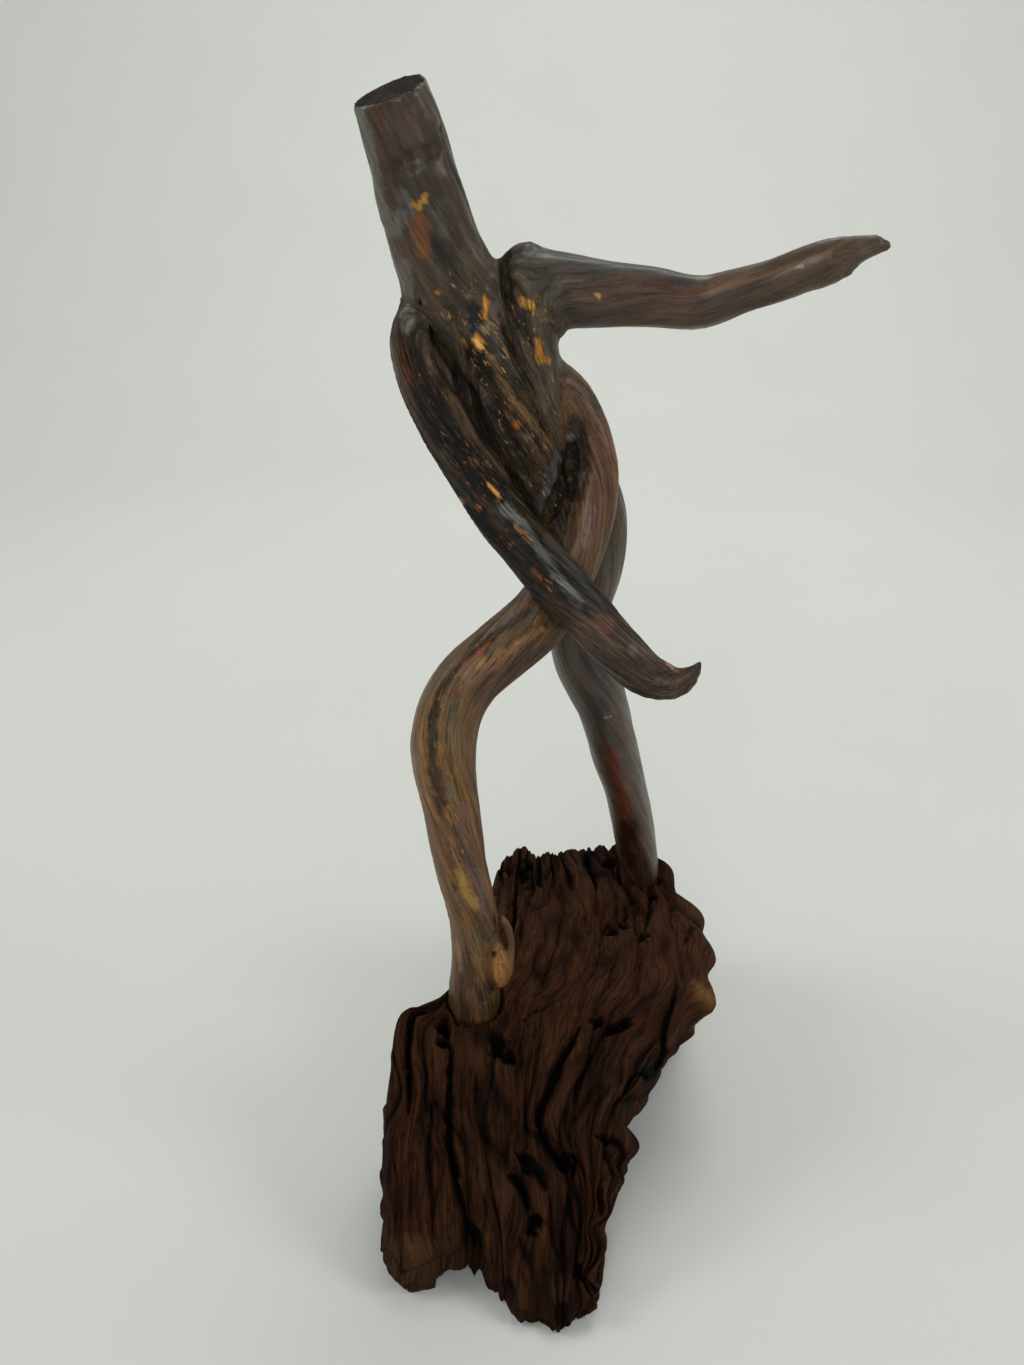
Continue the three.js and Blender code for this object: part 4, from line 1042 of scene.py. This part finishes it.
# The lobe at the front left is sawn off pale, and the stub at the right is bare tan wood.
x, y, z = base_points.T
cut_lobe = bell(x, y, -87, -98, 16, 8) * (z < 28)
tan_patch = bell(x, y, 57, -2, 7, 6) * (z > 55)
# The first share is painted shade in cracks, grooves and sides that fall back, with painted light
# on the crests.
shares = np.stack([np.clip((depth_shade + 2) / 7, 0, 1), cut_lobe, tan_patch], axis=1)
base_piece = mesh_piece("weathered_base", base_points, faces,
                        {"grain": place, "wear_and_shade": shares}, "root")
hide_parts("base_block")

weathered = Finish("weathered_wood")
grain_place = weathered.carried("grain")
crack_shade, cut_share, tan_share = weathered.split(weathered.carried("wear_and_shade"))
streaks = weathered.noise(grain_place, (0.22, 0.22, 0.03), 4)
fibres = weathered.noise(grain_place, (1.3, 1.3, 0.09), 4, 0.7)
dust = weathered.noise(grain_place, (0.06, 0.06, 0.03), 4)
crumbs = weathered.noise(grain_place, (1.6, 1.6, 1.2), 3, 0.7)
ridges = weathered.noise(grain_place, (0.42, 0.42, 0.03), 3)
creases = abs(ridges - 0.5).between(0.0, 0.035)
colour = weathered.mix(streaks.between(0.35, 0.65), paint((29, 13, 5)), paint((55, 29, 13)))
colour = weathered.mix(dust.between(0.5, 0.7) * 0.35, colour, paint((70, 50, 34)))
# Painted light: the crests, where little is sunk, are lighter.
lit_crest = 1 - crack_shade.between(0.02, 0.34)
colour = weathered.mix(lit_crest * 0.5, colour, paint((72, 43, 24)))
colour = weathered.wash(colour, (0.4 + fibres + 0.4 * crumbs) * (0.7 + 0.3 * creases))
# Painted shade: cracks and grooves are darker the deeper they are.
colour = weathered.mix(crack_shade.between(0.34, 0.64) * 0.5, colour, paint((16, 9, 5)))
colour = weathered.mix(cut_share * dust, colour, paint((84, 62, 38)))
colour = weathered.mix(tan_share * (0.2 + 0.8 * dust), colour, paint((128, 90, 52)))
# Painted shade: the deepest cracks are almost black.
colour = weathered.mix(crack_shade.between(0.54, 1.0) * 0.9, colour, paint((8, 5, 4)))
height = fibres + 0.35 * streaks + 0.25 * crumbs + 0.8 * creases
relief = weathered.node("ShaderNodeBump", {},
                        {"Strength": 0.9, "Distance": 0.0016, "Height": height})
roughness = 0.75 + 0.2 * (fibres - 0.5)
base_piece.data.materials.append(weathered.finish(weathered.node(
    "ShaderNodeBsdfPrincipled", {},
    {"Base Color": colour, "Roughness": roughness, "Normal": relief,
     "Specular IOR Level": 0.08})))

# The backdrop. A plain sheet of pale grey paper that curves up all round, far enough out
# that every view has it behind the piece.
PAPER_FLAT, PAPER_RIM, PAPER_HEIGHT = 1.5, 3.0, 1.5     # metres
SECTORS, BENDS = 96, 24
turns = np.linspace(0, 2 * math.pi, SECTORS, endpoint=False)
profile = [(PAPER_FLAT / 2, 0.0), (PAPER_FLAT, 0.0)]
for k in range(1, BENDS + 1):
    bend = 0.5 * math.pi * k / BENDS
    profile.append((PAPER_FLAT + (PAPER_RIM - PAPER_FLAT) * math.sin(bend),
                    PAPER_HEIGHT * (1 - math.cos(bend))))
profile.append((PAPER_RIM, 2 * PAPER_HEIGHT))
bowl_points = [(radius * math.cos(turn), radius * math.sin(turn), rise)
               for radius, rise in profile for turn in turns]
bowl_faces = [(k * SECTORS + n, (k + 1) * SECTORS + n,
               (k + 1) * SECTORS + (n + 1) % SECTORS, k * SECTORS + (n + 1) % SECTORS)
              for k in range(len(profile) - 1) for n in range(SECTORS)]
bowl = bpy.data.meshes.new("paper_backdrop")
bowl.from_pydata(bowl_points, [], bowl_faces + [tuple(range(SECTORS))])
bowl.polygons.foreach_set("use_smooth", [True] * len(bowl.polygons))
backdrop = bpy.data.objects.new("paper_backdrop", bowl)
bpy.context.scene.collection.objects.link(backdrop)
paper = Finish("backdrop_paper")
place = paper.node("ShaderNodeTexCoord", output=3)
tooth = paper.node("ShaderNodeTexNoise", {}, {"Vector": place, "Scale": 3.0, "Detail": 2.0})
colour = paper.mix(tooth, paint((205, 207, 202)), paint((210, 212, 207)))
bowl.materials.append(paper.finish(paper.node(
    "ShaderNodeBsdfPrincipled", {},
    {"Base Color": colour, "Roughness": 0.9, "Specular IOR Level": 0.2})))

# Light. Broad soft panels to the left, in front, overhead and to the right, one that lights
# the paper behind, and pale light from all round. Each has its place, where it points, its
# size and its watts.
LIGHTS = {
    "left_panel": ((-1.5, 0.0, 1.3), (0, 0, 0.25), 0.8, 9),
    "front_panel": ((-0.3, -1.7, 1.2), (0, 0, 0.3), 1.0, 11),
    "top_panel": ((0.4, 0.8, 2.2), (0, 0, 0.25), 1.1, 12),
    "wall_panel": ((0.2, 1.2, 2.2), (0, 2.9, 0.8), 1.0, 24),
    "right_panel": ((1.5, -0.4, 1.2), (0, 0, 0.25), 0.8, 9),
}
for name, (place, target, size, watts) in LIGHTS.items():
    lamp = bpy.data.lights.new(name, "AREA")
    lamp.shape, lamp.size, lamp.energy = "DISK", size, watts
    panel = bpy.data.objects.new(name, lamp)
    panel.location = place
    panel.rotation_euler = (Vector(target) - Vector(place)).to_track_quat("-Z", "Y").to_euler()
    bpy.context.scene.collection.objects.link(panel)

room = bpy.data.worlds.new("pale_room")
room.use_nodes = True
room.node_tree.nodes["Background"].inputs["Color"].default_value = paint((232, 234, 232))
room.node_tree.nodes["Background"].inputs["Strength"].default_value = 0.36
bpy.context.scene.world = room
bpy.context.scene.view_settings.view_transform = "Standard"

# The camera. A phone's wide lens held above the piece and tipped down at it.
lens = bpy.data.cameras.new("viewpoint")
lens.sensor_fit, lens.sensor_width, lens.lens = "AUTO", 36.0, 27.03
lens.clip_start, lens.clip_end = 0.01, 20
camera = bpy.data.objects.new("viewpoint", lens)
camera.location = (-0.0378, -0.3978, 0.442)
camera.rotation_euler = (math.radians(65), 0, 0)
bpy.context.scene.collection.objects.link(camera)
bpy.context.scene.camera = camera
